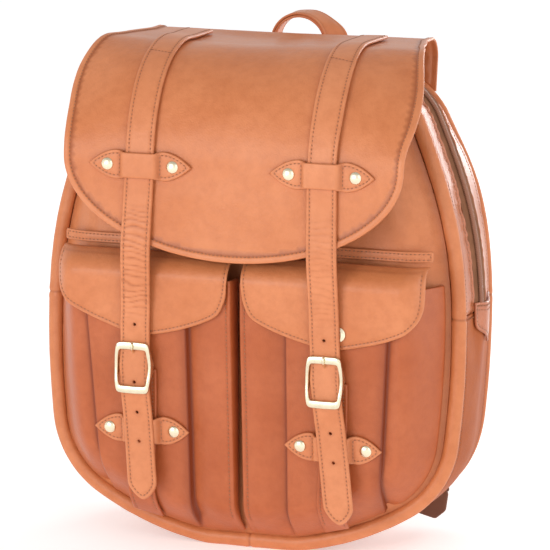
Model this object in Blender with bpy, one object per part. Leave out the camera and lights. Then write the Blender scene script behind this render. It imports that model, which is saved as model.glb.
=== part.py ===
"""A leather rucksack with two front pockets, a long buckled flap and a zipped body.

Every sub-part is its own closed solid. The bag stands on the floor at z = 0, its front faces -Y,
its left side is at -X as seen from the front, and +Z is up. Lengths here are in millimetres,
and solid() turns them into metres.
"""

from math import cos, pi, radians, sin, sqrt

import bmesh
import bpy
import numpy as np

MM = 0.001

# The bag's body: an extruded dome with a flat foot.
FRONT_Y = -35.0          # seam plane of the front
BACK_Y = 77.0            # seam plane of the back
FOOT_HALF = 34.0         # half the width of the flat foot
# Tangent arcs from the foot to the top centre: (radius, heading at the arc's end in degrees).
DOME_ARCS = ((60, 10), (252, 32), (84, 84), (900, 90), (510, 110), (58, 180))
SIDE_ARC = 4             # the arc of the upper side, along which the zip slider runs
LEATHER = 2.4            # panel thickness
GAP = 0.4                # between neighbouring pieces
PIPING_OUT = 1.5         # how far the front piping stands out past the gusset
PIPING_WIDE = 12.0
PIPING_DEEP = 9.0
BACK_PIPING = 6.0
CROWN = 26.0             # how far the stuffed front panel bulges
CROWN_RUN = 35.0         # over this distance from its edge

# The zip, in the gusset of the upper body.
ZIP_FROM_Z = 205.0
ZIP_Y = 2.0
ZIP_WIDE = 13.0
COIL_WIDE = 4.4
TAB_Y = 20.0             # centre of the arrow tabs over the zip's ends
TAB_HALF = 28.0
SLIDER_ANGLE = 8.0       # where the closed slider parks, in degrees up the side's arc

# The pockets.
POCKET_TOP = 236.0
POCKET_RIM_INSET = 13.5
POCKET_DEEP = 24.0
POCKET_RUN = 30.0        # the outer edge rounds over this distance
POCKET_GAP_HALF = 4.5    # half the gap between the two pockets
POCKET_INNER_RUN = 9.0
POCKET_X = 81.0          # centre of a pocket flap
FLAP_HALF = 75.0         # half-width of a pocket flap
FLAP_HINGE_Z = 257.0
FLAP_SIDE_Z = 208.0      # where its straight sides end
FLAP_TIP_Z = 182.0
TRIM_Z = (259.4, 267.5)
LEDGE_TURN = 8.0         # how far the ledge under a pocket trim turns back at its outer end
LEDGE_TURN_X = 133.0     # beyond this distance from the middle

# The main flap: flat on top, a quarter arc forwards, then straight down to a half-elliptic edge.
ARC_Y = -13.0
ARC_Z = 330.0
ARC_R = 90.0
TOP_Z = ARC_Z + ARC_R
HINGE_Y = 46.0
TOP_HALF = 117.0
FRONT_HALF = 142.0
EDGE_DROP = 80.0         # height of the half-ellipse under the arc
EDGE_DROOP = 0.85        # how far the sides of the arc sag towards its chord
FLAP_THICK = 2.2
REAR_STANDOFF = 6.9      # how far the flap's rear stands off the back panel as it turns down
REAR_STRIP_Z = 374.0
LINING_THICK = 1.0

# Straps, keepers, buckles and studs.
STRAP_WIDE = 24.4
STRAP_THICK = 3.0
STRAP_TOP_X = 76.0
STRAP_LOW_X = 81.0
STRAP_SWAY = 3.4         # both straps hang to the left at their buckles
TAIL_LEAN = 5.2          # and their tails back over to the right
KEEPER_HALF = 43.5
KEEPER_LOW_HALF = 41.0
KEEPER_SHOULDER = 20.0   # its pointed ends start at this distance from its middle
KEEPER_HALF_HEIGHT = 12.0
UPPER_KEEPER_Z = 325.0
LOWER_KEEPER_Z = 104.0
BUCKLE_Z = 158.0
BUCKLE_WIDE = 31.4
BUCKLE_TALL = 44.0
BUCKLE_SIDE = 1.4        # half-thickness of its side bars
BUCKLE_END = 3.0         # and of its top and bottom
BUCKLE_BOW = 7.7         # how far its ends bow forwards of its centre bar
BUCKLE_HALF_DEEP = 1.7
PRONG_RADIUS = 1.1
STUD_RADIUS = 4.8
STUD_TURNS = 12
STUD_OFFSET = 27.5
SNAP_RADIUS = 6.2
SNAP_Z = 196.0
STRAP_HINGE_Z = UPPER_KEEPER_Z - 14.5   # where the free length of a closure strap starts

# The handle and the shoulder straps.
HANDLE_BASE_Z = 374.5
HANDLE_HALF = 20.5       # from the middle to the inner edge of a leg
HANDLE_SPRING_Z = 416.5  # where the legs end and the arch starts
HANDLE_WIDE = 23.0
HANDLE_Y = BACK_Y + 9.4
HANDLE_LEAN = 2.0        # how far its top leans back
LOWER_STRAP = ((111.5, 94.0, 117.0), (128.0, 85.5, 30.0))
ADJUSTER_SHARE = 0.3     # where the adjuster sits along the lower strap

LEATHER_TAN = (0.68, 0.27, 0.11, 1.0)
BRASS = (0.78, 0.62, 0.36, 1.0)
SIDES = (("left", -1), ("right", 1))


# ---------------------------------------------------------------- helpers

def material(name, colour, roughness, metallic=0.0):
    found = bpy.data.materials.get(name)
    if found:
        return found
    made = bpy.data.materials.new(name)
    made.use_nodes = True
    shader = made.node_tree.nodes["Principled BSDF"]
    shader.inputs["Base Color"].default_value = colour
    shader.inputs["Roughness"].default_value = roughness
    shader.inputs["Metallic"].default_value = metallic
    return made


def leather():
    return material("tan_leather", LEATHER_TAN, 0.45)


def dark_leather():
    return material("dark_leather", (0.16, 0.07, 0.03, 1.0), 0.5)


def brass():
    return material("pale_brass", BRASS, 0.3, 1.0)


def cloth():
    return material("lining_cloth", (0.20, 0.13, 0.09, 1.0), 0.85)


def foam():
    return material("foam", (0.75, 0.72, 0.65, 1.0), 0.95)


def board():
    return material("board", (0.12, 0.12, 0.12, 1.0), 0.6)


def zip_brown():
    return material("zip_brown", (0.12, 0.05, 0.03, 1.0), 0.5)


def webbing():
    return material("webbing", (0.14, 0.07, 0.04, 1.0), 0.8)


def solid(name, points, faces, finish, thickness=0.0, smooth=True):
    """One named object from points in millimetres; an open sheet gets its thickness behind its normals."""
    mesh = bpy.data.meshes.new(name)
    mesh.from_pydata([[c * MM for c in p] for p in points], [], faces)
    work = bmesh.new()
    work.from_mesh(mesh)
    bmesh.ops.remove_doubles(work, verts=work.verts, dist=0.00001)
    if not thickness:
        bmesh.ops.recalc_face_normals(work, faces=work.faces)
    work.to_mesh(mesh)
    work.free()
    piece = bpy.data.objects.new(name, mesh)
    bpy.context.scene.collection.objects.link(piece)
    mesh.materials.append(finish)
    if smooth:
        mesh.shade_smooth()
        mesh.set_sharp_from_angle(angle=radians(35))
    if thickness:
        wall = piece.modifiers.new("thickness", "SOLIDIFY")
        wall.thickness = thickness * MM
        wall.offset = -1.0
        wall.use_even_offset = True
    return piece


def grid_faces(rows, columns, first=0):
    """Quads over rows x columns points."""
    return [
        (first + r * columns + c, first + r * columns + c + 1,
         first + (r + 1) * columns + c + 1, first + (r + 1) * columns + c)
        for r in range(rows - 1) for c in range(columns - 1)
    ]


def sheet(name, rows, finish, thickness, outward=(0, -1, 0)):
    """A sheet through rows of points on its outer face, which looks outward; it grows inwards."""
    columns = len(rows[0])
    points = np.array([p for row in rows for p in row], float)
    faces = grid_faces(len(rows), columns)
    corners = points[np.array(faces)]
    normals = np.cross(corners[:, 2] - corners[:, 0], corners[:, 3] - corners[:, 1])
    if np.dot(normals.sum(axis=0), outward) < 0:
        faces = [f[::-1] for f in faces]
    return solid(name, points.tolist(), faces, finish, thickness)


def sweep(name, rings, finish, closed=False):
    """A solid through rings of points, capped at its ends or closed on itself."""
    count = len(rings[0])
    points = [p for ring in rings for p in ring]
    spans = len(rings) if closed else len(rings) - 1
    faces = []
    for r in range(spans):
        a, b = r * count, ((r + 1) % len(rings)) * count
        for k in range(count):
            n = (k + 1) % count
            faces.append((a + k, a + n, b + n, b + k))
    if not closed:
        faces.append(tuple(range(count - 1, -1, -1)))
        faces.append(tuple((len(rings) - 1) * count + k for k in range(count)))
    return solid(name, points, faces, finish)


def plate(name, outline, near, far, finish, axis=1):
    """A flat polygon extruded from near to far along an axis (1 is Y, 2 is Z)."""
    def at(p, depth):
        return (p[0], depth, p[1]) if axis == 1 else (p[0], p[1], depth)
    return sweep(name, [[at(p, near) for p in outline], [at(p, far) for p in outline]], finish)


def unit(v):
    return np.asarray(v, float) / np.linalg.norm(v)


def ribbon(name, path, width, thickness, finish, across=(1, 0, 0)):
    """A flat strap along a path. across is its width direction, one vector or one for each point."""
    path = np.asarray(path, float)
    across = np.broadcast_to(np.asarray(across, float), path.shape)
    widths = np.broadcast_to(np.asarray(width, float), (len(path),))
    tangents = np.gradient(path, axis=0)
    rings = []
    for p, t, a, w in zip(path, tangents, across, widths):
        t = unit(t)
        a = unit(a - t * np.dot(a, t))
        n = np.cross(t, a) * thickness / 2
        h = a * w / 2
        rings.append([p - h - n, p + h - n, p + h + n, p - h + n])
    return sweep(name, rings, finish)


def smooth_path(knots, count):
    """Evenly spaced points on a smooth curve through the knots."""
    knots = np.asarray(knots, float)
    ends = np.vstack([2 * knots[0] - knots[1], knots, 2 * knots[-1] - knots[-2]])
    points = []
    for a, b, c, d in zip(ends, ends[1:], ends[2:], ends[3:]):
        for t in np.linspace(0, 1, 24, endpoint=False):
            points.append(0.5 * (2 * b + (c - a) * t + (2 * a - 5 * b + 4 * c - d) * t ** 2
                                 + (3 * b - a - 3 * c + d) * t ** 3))
    points.append(knots[-1])
    return resample(points, count)


def resample(points, count):
    points = np.asarray(points, float)
    run = np.concatenate([[0], np.cumsum(np.linalg.norm(np.diff(points, axis=0), axis=1))])
    wanted = np.linspace(0, run[-1], count)
    return np.stack([np.interp(wanted, run, points[:, k]) for k in range(points.shape[1])], axis=1)


def ease(t):
    t = min(max(t, 0.0), 1.0)
    return t * t * (3 - 2 * t)


def bump(t):
    """0 at the edge, rising like a quarter sine to 1."""
    return sin(min(max(t, 0.0), 1.0) * pi / 2)


def boolean(piece, others, operation):
    """Joins other closed pieces to one, or cuts them out of it, then drops them."""
    bpy.context.view_layer.update()
    for other in others:
        step = piece.modifiers.new("step", "BOOLEAN")
        step.operation = operation
        step.solver = "EXACT"
        step.object = other
    evaluated = piece.evaluated_get(bpy.context.evaluated_depsgraph_get())
    piece.data = bpy.data.meshes.new_from_object(evaluated)
    piece.modifiers.clear()
    for other in others:
        bpy.data.objects.remove(other)
    return piece


def union(piece, others):
    return boolean(piece, others, "UNION")


# ---------------------------------------------------------------- the dome outline

def half_outline(inset=0.0, lift=0.0, step=4.0):
    """The dome from the foot's centre to the top's centre, its right half, as (x, z)."""
    x, z, heading = FOOT_HALF, inset + lift, 0.0
    points = [(0.0, z), (x / 2, z), (x, z)]
    for radius, turn_to in DOME_ARCS:
        r = radius - inset
        steps = max(2, int(radians(turn_to - heading) * r / step))
        for k in range(1, steps + 1):
            h = radians(heading + (turn_to - heading) * k / steps)
            h0 = radians(heading)
            points.append((x + r * (sin(h) - sin(h0)), z + r * (cos(h0) - cos(h))))
        x, z = points[-1]
        heading = turn_to
    points += [(x / 2, z), (0.0, z)]
    return np.array(points)


def full_outline(inset=0.0, lift=0.0, count=72):
    """The whole closed dome, counter-clockwise from the foot's centre, evenly spaced."""
    right = half_outline(inset, lift)
    left = right[::-1] * (-1, 1)
    return resample(np.vstack([right, left[1:]]), count + 1)[:-1]


def outline_part(low, high, inset=0.0, step=9.0):
    """The right half of the dome between two heights, from the lower to the higher."""
    points = half_outline(inset, step=2.0)
    top = points[:, 1].max()
    keep = points[(points[:, 1] >= low - 1e-6) & (points[:, 1] <= min(high, top) + 1e-6)]
    length = np.linalg.norm(np.diff(keep, axis=0), axis=1).sum()
    return resample(keep, max(3, int(length / step)))


RIM = full_outline(count=400)


def edge_distance(x, z):
    """Distance from a point of the front to the dome's edge."""
    return float(np.hypot(RIM[:, 0] - x, RIM[:, 1] - z).min())


def side_arc_centre():
    """Centre of the upper side's arc on the right, as (x, z)."""
    x, z, heading = FOOT_HALF, 0.0, 0.0
    for radius, turn_to in DOME_ARCS[:SIDE_ARC]:
        a, b = radians(heading), radians(turn_to)
        x += radius * (sin(b) - sin(a))
        z += radius * (cos(a) - cos(b))
        heading = turn_to
    return x - DOME_ARCS[SIDE_ARC][0], z


# ---------------------------------------------------------------- surfaces that pieces lie on

def panel_y(x, z):
    """The stuffed front panel's outer face."""
    fullness = 0.7 + 0.3 * min(z / 200, 1)
    return FRONT_Y - 1 - CROWN * fullness * bump((edge_distance(x, z) - PIPING_WIDE) / CROWN_RUN)


def pocket_y(x, z):
    """A pocket's outer face, lower and flatter towards the bottom."""
    outer = bump((edge_distance(x, z) - POCKET_RIM_INSET) / POCKET_RUN)
    inner = bump((abs(x) - POCKET_GAP_HALF) / POCKET_INNER_RUN)
    return panel_y(x, z) - LEATHER - 3 * GAP - POCKET_DEEP * (0.3 + 0.7 * z / 240) * outer * inner


def ledge_y(x):
    """Outer face of the line where a pocket flap and its trim are sewn on; it turns back at its ends."""
    full = FRONT_Y - 1 - CROWN - LEATHER - 2 * GAP
    past = max(0.0, abs(x) - LEDGE_TURN_X) / (POCKET_X + FLAP_HALF - LEDGE_TURN_X)
    return full + LEDGE_TURN * past ** 1.5


def pocket_flap_y(x, z):
    """A pocket flap's outer face: from the trim forwards over the pocket's mouth and down on it."""
    hung = min(z, POCKET_TOP - 4)
    over = min(pocket_y(abs(x) + d, hung) for d in (-7, 0, 7)) - LEATHER - 4 * GAP
    t = ease((FLAP_HINGE_Z - z) / 15)
    return min(ledge_y(x) + (over - ledge_y(x)) * t, ledge_y(x))


def flap_half_width(t):
    """The main flap's half-width from its hinge (0) over the arc's start (1) to the arc's end (2)."""
    return TOP_HALF + (FRONT_HALF - TOP_HALF) * ease(t / 2.15)


def flap_point(u, t):
    """The main flap's outer face. u is -1 to 1 across; t is 0 hinge, 1 arc start, 2 arc end, 3 edge."""
    x = u * flap_half_width(t)
    if t <= 1:
        return np.array([x, HINGE_Y + (ARC_Y - HINGE_Y) * t, TOP_Z])
    if t >= 2:
        return np.array([x, ARC_Y - ARC_R, ARC_Z - EDGE_DROP * (t - 2) * sqrt(max(0.0, 1 - u * u))])
    a = (t - 1) * pi / 2
    arc = np.array([ARC_Y - ARC_R * sin(a), ARC_Z + ARC_R * cos(a)])
    chord = np.array([ARC_Y - ARC_R * (t - 1), TOP_Z - ARC_R * (t - 1)])
    y, z = arc + (chord - arc) * EDGE_DROOP * abs(u) ** 4
    return np.array([x, y, z])


def flap_at(x, t, lift):
    """A point above the main flap's outer face at x, lifted along its normal."""
    u = x / flap_half_width(t)
    p = flap_point(u, t)
    along = flap_point(u, min(t + 0.01, 3)) - flap_point(u, max(t - 0.01, 0))
    aside = flap_point(min(u + 0.01, 1), t) - flap_point(max(u - 0.01, -1), t)
    return p + unit(np.cross(aside, along)) * -lift


def strap_x(side, z):
    """Centre of a closure strap: it drifts outwards to its buckle, and its tail leans right."""
    drift = min(max((UPPER_KEEPER_Z - z) / (UPPER_KEEPER_Z - BUCKLE_Z), 0), 1)
    lean = max(0.0, (BUCKLE_Z - z) / (BUCKLE_Z - 50)) * TAIL_LEAN
    return side * (STRAP_TOP_X + (STRAP_LOW_X - STRAP_TOP_X) * drift) - STRAP_SWAY * drift + lean


# ---------------------------------------------------------------- the body

def mirrored(points):
    """A path from the middle to the right, with its mirror image on the left."""
    return np.vstack([points[:0:-1] * (-1, 1), points])


def band(name, front, back, low, high, finish, inset=0.0, thickness=LEATHER):
    """A strip of gusset between two depths, from one side over the foot or the top to the other."""
    outer = outline_part(low, high, inset)
    inner = outline_part(low, high, inset + thickness)
    if low > 0:
        outer, inner = outer[::-1], inner[::-1]
    inner = resample(mirrored(inner), 2 * len(outer) - 1)
    outer = mirrored(outer)
    rings = [
        [(o[0], front, o[1]), (o[0], back, o[1]), (i[0], back, i[1]), (i[0], front, i[1])]
        for o, i in zip(outer, inner)
    ]
    return sweep(name, rings, finish)


def dome_plate(name, inset, near, far, finish, low=None):
    """A flat dome-shaped plate."""
    outline = full_outline(inset, count=60)
    if low is not None:
        outline = [(x, max(z, low)) for x, z in outline]
    return plate(name, outline, near, far, finish)


def front_panel():
    """The stuffed front: rings of the dome, each further in and further forwards."""
    count, half_wide = 56, 178
    edge = full_outline(PIPING_WIDE + GAP, count=count)
    centre = np.array([0.0, 205.0])
    rings = []
    for inwards in (0, 4, 10, 18, 28, 45, 75, 115):
        loop = centre + (edge - centre) * (1 - inwards / half_wide)
        rings.append([(x, panel_y(x, z), z) for x, z in loop])
    rings.append([(0.0, panel_y(*centre), centre[1])] * count)
    rows = [ring + [ring[0]] for ring in rings]
    return sheet("front_panel", rows, leather(), LEATHER)


def piping(name, y, wide, deep, out, lift):
    """A rolled edge around the dome."""
    turns = 8
    outer = full_outline(-out, lift, 72)
    inner = full_outline(wide - out, lift, 72)
    rings = []
    for o, i in zip(outer, inner):
        centre, half = (o + i) / 2, (o - i) / 2
        ring = []
        for k in range(turns):
            a = 2 * pi * k / turns
            p = centre + half * cos(a)
            ring.append((p[0], y + deep / 2 * sin(a), p[1]))
        rings.append(ring)
    return sweep(name, rings, leather(), closed=True)


def body():
    gusset_front = FRONT_Y + PIPING_DEEP / 2 + GAP
    gusset_back = BACK_Y - BACK_PIPING / 2 - GAP
    front_panel()
    dome_plate("back_panel", BACK_PIPING + 1.2, BACK_Y - LEATHER, BACK_Y, leather())
    band("lower_gusset", gusset_front, gusset_back, 0, ZIP_FROM_Z, leather())
    zip_front, zip_back = ZIP_Y - ZIP_WIDE / 2, ZIP_Y + ZIP_WIDE / 2
    start = ZIP_FROM_Z + GAP + 1
    band("upper_gusset_front", gusset_front, zip_front - GAP, start, 500, leather())
    band("upper_gusset_rear", zip_back + GAP, gusset_back, start, 500, leather())
    tape = band("zip_tape", zip_front, zip_back, start, 500, zip_brown(), 2.6, 0.8)
    coil_half = COIL_WIDE / 2
    coil = band("coil", ZIP_Y - coil_half, ZIP_Y + coil_half, start + 3, 500, zip_brown(), 0.8, 2.2)
    union(tape, [coil])
    piping("front_piping", FRONT_Y, PIPING_WIDE, PIPING_DEEP, PIPING_OUT, PIPING_OUT + 0.3)
    piping("back_piping", BACK_Y, BACK_PIPING, BACK_PIPING, 0.8, 1.1)


def zip_end_tabs():
    """Arrow-shaped leather tabs over the two ends of the zip."""
    for side_name, side in SIDES:
        rows = []
        for z, y_half in ((179, 0.8), (184, 10.0), (194, TAB_HALF), (204, TAB_HALF), (214, TAB_HALF)):
            edge = outline_part(z, z + 4)[0][0]
            rows.append([(side * (edge + LEATHER + GAP), TAB_Y + y, z) for y in (-y_half, 0, y_half)])
        sheet(f"zip_end_tab_{side_name}", rows, leather(), LEATHER - 0.4, (side, 0, 0))


def on_side_arc(angle, radius_add):
    """A point of the upper left side, at an angle above the arc's widest point."""
    centre_x, centre_z = side_arc_centre()
    radius = DOME_ARCS[SIDE_ARC][0] + radius_add
    return (-(centre_x + radius * cos(radians(angle))), centre_z + radius * sin(radians(angle)))


def zip_slider():
    """The slider parked on the left, and its pull hanging from it."""
    half_wide = 5.0
    angles = [SLIDER_ANGLE + k * 0.42 for k in range(4)]
    rings = []
    for k, a in enumerate(angles):
        grow = (0.75, 1.0, 1.0, 0.85)[k]
        inner, outer = on_side_arc(a, 0.7), on_side_arc(a, 0.7 + 4.0 * grow)
        w = half_wide * grow
        rings.append([(inner[0], ZIP_Y - w, inner[1]), (inner[0], ZIP_Y + w, inner[1]),
                      (outer[0], ZIP_Y + w * 0.7, outer[1]), (outer[0], ZIP_Y - w * 0.7, outer[1])])
    sweep("zip_slider", rings, brass())
    pin = pull_pin()
    outline = [(pin[1] + 2.2, 3.0), (pin[1] - 4, 4.2), (pin[1] - 24, 5.2), (pin[1] - 28, 3.4),
               (pin[1] - 29, 0)]
    outline += [(z, -y) for z, y in outline[-2::-1]]
    near, far = pin[0] - 0.8, pin[0] - 2.6
    rings = [[(x, ZIP_Y + y, z) for z, y in outline] for x in (near, far)]
    sweep("zip_pull", rings, leather())


def pull_pin():
    """The pull's pivot, just outside the slider's top."""
    return on_side_arc(SLIDER_ANGLE + 0.7, 5.6)


# ---------------------------------------------------------------- pockets

def pocket(side_name, side):
    """A bellows pocket: open at the top and sewn round its rim to the front panel."""
    rim = outline_part(12, POCKET_TOP, POCKET_RIM_INSET, step=14.0)
    rim = rim[rim[:, 0] > POCKET_GAP_HALF + 22]
    rim = resample(rim, 20)
    inner_x = POCKET_GAP_HALF
    low = rim[0][1]
    rows = []
    for k, (rx, rz) in enumerate(rim):
        qz = low + (POCKET_TOP - low) * k / (len(rim) - 1)
        rz = rz if k < len(rim) - 1 else POCKET_TOP
        row = []
        for s in (0, 0.02, 0.05, 0.09, 0.2, 0.36, 0.52, 0.68, 0.8, 0.88, 0.94, 1.0):
            x, z = inner_x + (rx - inner_x) * s, qz + (rz - qz) * s
            row.append((side * x, pocket_y(x, z), z))
        rows.append(row)
    sheet(f"pocket_{side_name}", rows, leather(), LEATHER)


def pocket_flap_half_drop(f):
    """The lower edge of a pocket flap at a share f of its half-width: rounded corners, then a slant."""
    corner = 0.86
    corner_z, corner_tall = FLAP_SIDE_Z - 6, 16
    slant = (corner_z - FLAP_TIP_Z) / corner
    if f < corner:
        return FLAP_TIP_Z + slant * f * (0.55 + 0.45 * f / corner)
    return corner_z + corner_tall * ((f - corner) / (1 - corner)) ** 2


def pocket_flap(side_name, side):
    rows = []
    top = FLAP_HINGE_Z
    for j in range(9):
        t = j / 8
        row = []
        for k in range(15):
            f = sin((k / 14 * 2 - 1) * pi / 2)
            low = pocket_flap_half_drop(abs(f))
            z = top + (low - top) * (t ** 1.3)
            x = POCKET_X + FLAP_HALF * f
            row.append((side * x, pocket_flap_y(x, z), z))
        rows.append(row)
    sheet(f"pocket_flap_{side_name}", rows, leather(), LEATHER)


def pocket_trim(side_name, side):
    rows = []
    for z in TRIM_Z[::-1]:
        row = []
        for k in range(10):
            x = POCKET_X + (FLAP_HALF + 1) * (2 * k / 9 - 1)
            row.append((side * x, ledge_y(x), z))
        rows.append(row)
    sheet(f"pocket_trim_{side_name}", rows, leather(), LEATHER)


def stud(name, x, y, z, radius=STUD_RADIUS, height=1.6, base=1.2):
    """A domed round stud on a face that looks along -Y."""
    levels = ((1.0, 0.0), (1.0, base), (0.78, base + height * 0.62), (0.4, base + height))
    rings = [
        [(x + radius * share * cos(a), y - out, z + radius * share * sin(a))
         for a in (2 * pi * k / STUD_TURNS for k in range(STUD_TURNS))]
        for share, out in levels
    ]
    return sweep(name, rings, brass())


def keeper_studs(prefix, centre_x, centre_z, face_y):
    """The two studs that rivet a keeper down, beside its strap."""
    for place, offset in (("outer", -STUD_OFFSET), ("inner", STUD_OFFSET)):
        x = centre_x + offset * (1 if centre_x < 0 else -1)
        y = face_y(x, centre_z) - 3 * GAP - LEATHER
        stud(f"{prefix}_{place}", x, y, centre_z)


def snaps():
    for side_name, side in SIDES:
        x = side * POCKET_X
        stud(f"snap_cap_{side_name}", x, pocket_flap_y(POCKET_X, SNAP_Z) - 2 * GAP, SNAP_Z,
             SNAP_RADIUS, 0.6, 0.5)


# ---------------------------------------------------------------- the main flap

def main_flap():
    across = [sin(radians(a)) for a in np.linspace(-90, 90, 19)]
    stations = list(np.linspace(0, 1, 4)) + list(np.linspace(1, 2, 9)[1:]) + [2.35, 2.7, 3.0]
    rows = [[flap_point(u, t) for u in across] for t in stations]
    sheet("main_flap", rows, leather(), FLAP_THICK)
    inside = FLAP_THICK + 2 * GAP
    rows = []
    for t in stations:
        shrink = 0.94
        rows.append([flap_at(u * shrink * flap_half_width(t), min(t, 2.93), -inside) for u in across])
    sheet("flap_lining", rows, cloth(), LINING_THICK)


def flap_rear_strip():
    """The flap's fixed rear: it rolls over the back's top edge and is sewn to the back panel."""
    radius = 18.0
    centre_y, centre_z = BACK_Y + REAR_STANDOFF - radius, TOP_Z - radius
    profile = [(HINGE_Y + 3, TOP_Z), (centre_y, TOP_Z)]
    profile += [(centre_y + radius * sin(radians(a)), centre_z + radius * cos(radians(a)))
                for a in range(15, 91, 15)]
    profile.append((BACK_Y + LEATHER + 3 * GAP, REAR_STRIP_Z))
    rows = [[(x, y, z) for x in np.linspace(-TOP_HALF, TOP_HALF, 7)] for y, z in profile]
    sheet("flap_rear_strip", rows, leather(), LEATHER, (0, 1, 1))


def flap_strap(side_name, side):
    """The upper length of a closure strap, sewn down on the flap as far as the keeper."""
    rows = []
    end_t = 2 + (ARC_Z - UPPER_KEEPER_Z + 7) / EDGE_DROP
    for t in list(np.linspace(0.05, 1, 4)) + list(np.linspace(1, 2, 11)[1:]) + [end_t]:
        x = side * STRAP_TOP_X
        rows.append([flap_at(x + d, t, GAP + STRAP_THICK) for d in (-STRAP_WIDE / 2, 0, STRAP_WIDE / 2)])
    for row in rows:
        for p in row:
            p[1] = max(p[1], ARC_Y - ARC_R - GAP - STRAP_THICK)
    sheet(f"flap_strap_{side_name}", rows, leather(), STRAP_THICK)


def keeper(name, centre_x, centre_z, face_y, half_length, bridge):
    """A keeper with pointed ends that bridges a strap; face_y gives the face that it is riveted to."""
    ramp = STRAP_WIDE / 2 + 1.6
    stations = (0, ramp / 2, ramp - 0.6, ramp + 1.6, ramp + 4, 21, 25, 29, 33, 37, 40, half_length)
    rows = []
    for offset in [-f for f in stations[:0:-1]] + list(stations):
        f = abs(offset)
        leaf = 1 - (max(0.0, f - KEEPER_SHOULDER) / (half_length - KEEPER_SHOULDER)) ** 1.8
        height = KEEPER_HALF_HEIGHT * leaf - 1.4 * (1 - ease((f - ramp) / 6))
        x = centre_x + offset
        over = bridge * (1 - ease((f - ramp) / 4))
        rows.append([(x, face_y(x, z) - GAP - LEATHER - over, z)
                     for z in (centre_z + max(height, 0.6) * d for d in (1, 0, -1))])
    sheet(name, rows, leather(), LEATHER)


def flap_face_y(x, z):
    return ARC_Y - ARC_R


def pocket_face_y(x, z):
    return pocket_y(x, z) - GAP


def keepers(side_name, side):
    """The upper keeper on the flap and the lower one on the pocket, each with its two studs."""
    chape = LEATHER + 3 * GAP
    for level, x, z, half, face_y, bridged in (
        ("upper", side * STRAP_TOP_X, UPPER_KEEPER_Z, KEEPER_HALF, flap_face_y, STRAP_THICK),
        ("lower", side * (STRAP_LOW_X + 0.5), LOWER_KEEPER_Z, KEEPER_LOW_HALF, pocket_face_y, chape),
    ):
        keeper(f"{level}_keeper_{side_name}", x, z, face_y, half, bridged + GAP)
        keeper_studs(f"{level}_stud_{side_name}", x, z, face_y)


def hung_strap_y(z):
    """The back face of the free closure strap at a height: clear of all that it hangs over."""
    upper = ARC_Y - ARC_R - GAP
    buckle = bar_y() - 2.7
    snap = pocket_flap_y(POCKET_X, SNAP_Z) - 6 * GAP
    low = pocket_y(POCKET_X, LOWER_KEEPER_Z) - 2 * LEATHER - 8 * GAP
    knots = ((50, low + 2), (LOWER_KEEPER_Z - 14, low), (LOWER_KEEPER_Z + 14, low - 1.4),
             (BUCKLE_Z - 22, buckle), (BUCKLE_Z + 22, buckle), (SNAP_Z - 8, snap), (SNAP_Z + 7, snap),
             (FLAP_HINGE_Z, upper))
    return float(np.interp(z, *zip(*knots)))


def closure_strap(side_name, side):
    """The free length of a closure strap, from its keeper through the buckle to its pointed tail."""
    heights = (STRAP_HINGE_Z - 0.6, 290, 270, 257, 240, 222, 203, 188, 180, 170, 158, 147, 136, 118, 104, 90,
               75, 60)
    stations = [(z, STRAP_WIDE) for z in heights] + [(54.5, 20), (50, 13), (47, 7), (45.2, 2)]
    path = [(strap_x(side, z), hung_strap_y(z) - STRAP_THICK / 2, z) for z, _ in stations]
    strap = ribbon(f"closure_strap_{side_name}", path, [w for _, w in stations], STRAP_THICK, leather())
    knee = prong_points(strap_x(side, BUCKLE_Z))[1]
    corners = ((-1.9, -1.8), (1.9, -1.8), (1.9, 5.2), (-1.9, 5.2))
    slot = [(knee[0] + dx, knee[2] + dz) for dx, dz in corners]
    boolean(strap, [plate("slot", slot, bar_y() + 2, bar_y() - 12, leather())], "DIFFERENCE")


def chape_strap(side_name, side):
    """The lower strap, sewn to the pocket, that holds the buckle by its centre bar."""
    x = side * STRAP_LOW_X
    rows = []
    for z in np.linspace(BUCKLE_Z - 3.2, 34, 12):
        under = min(pocket_y(STRAP_LOW_X + d, z) for d in (-12, 0, 12))
        rows.append([(x + d, under - 3 * GAP - LEATHER, z)
                     for d in (-STRAP_WIDE / 2 + 1, 0, STRAP_WIDE / 2 - 1)])
    sheet(f"chape_strap_{side_name}", rows, leather(), LEATHER)


def bar_y():
    """Depth of the buckles' centre bars."""
    return pocket_y(POCKET_X, BUCKLE_Z) - 4.5


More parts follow.
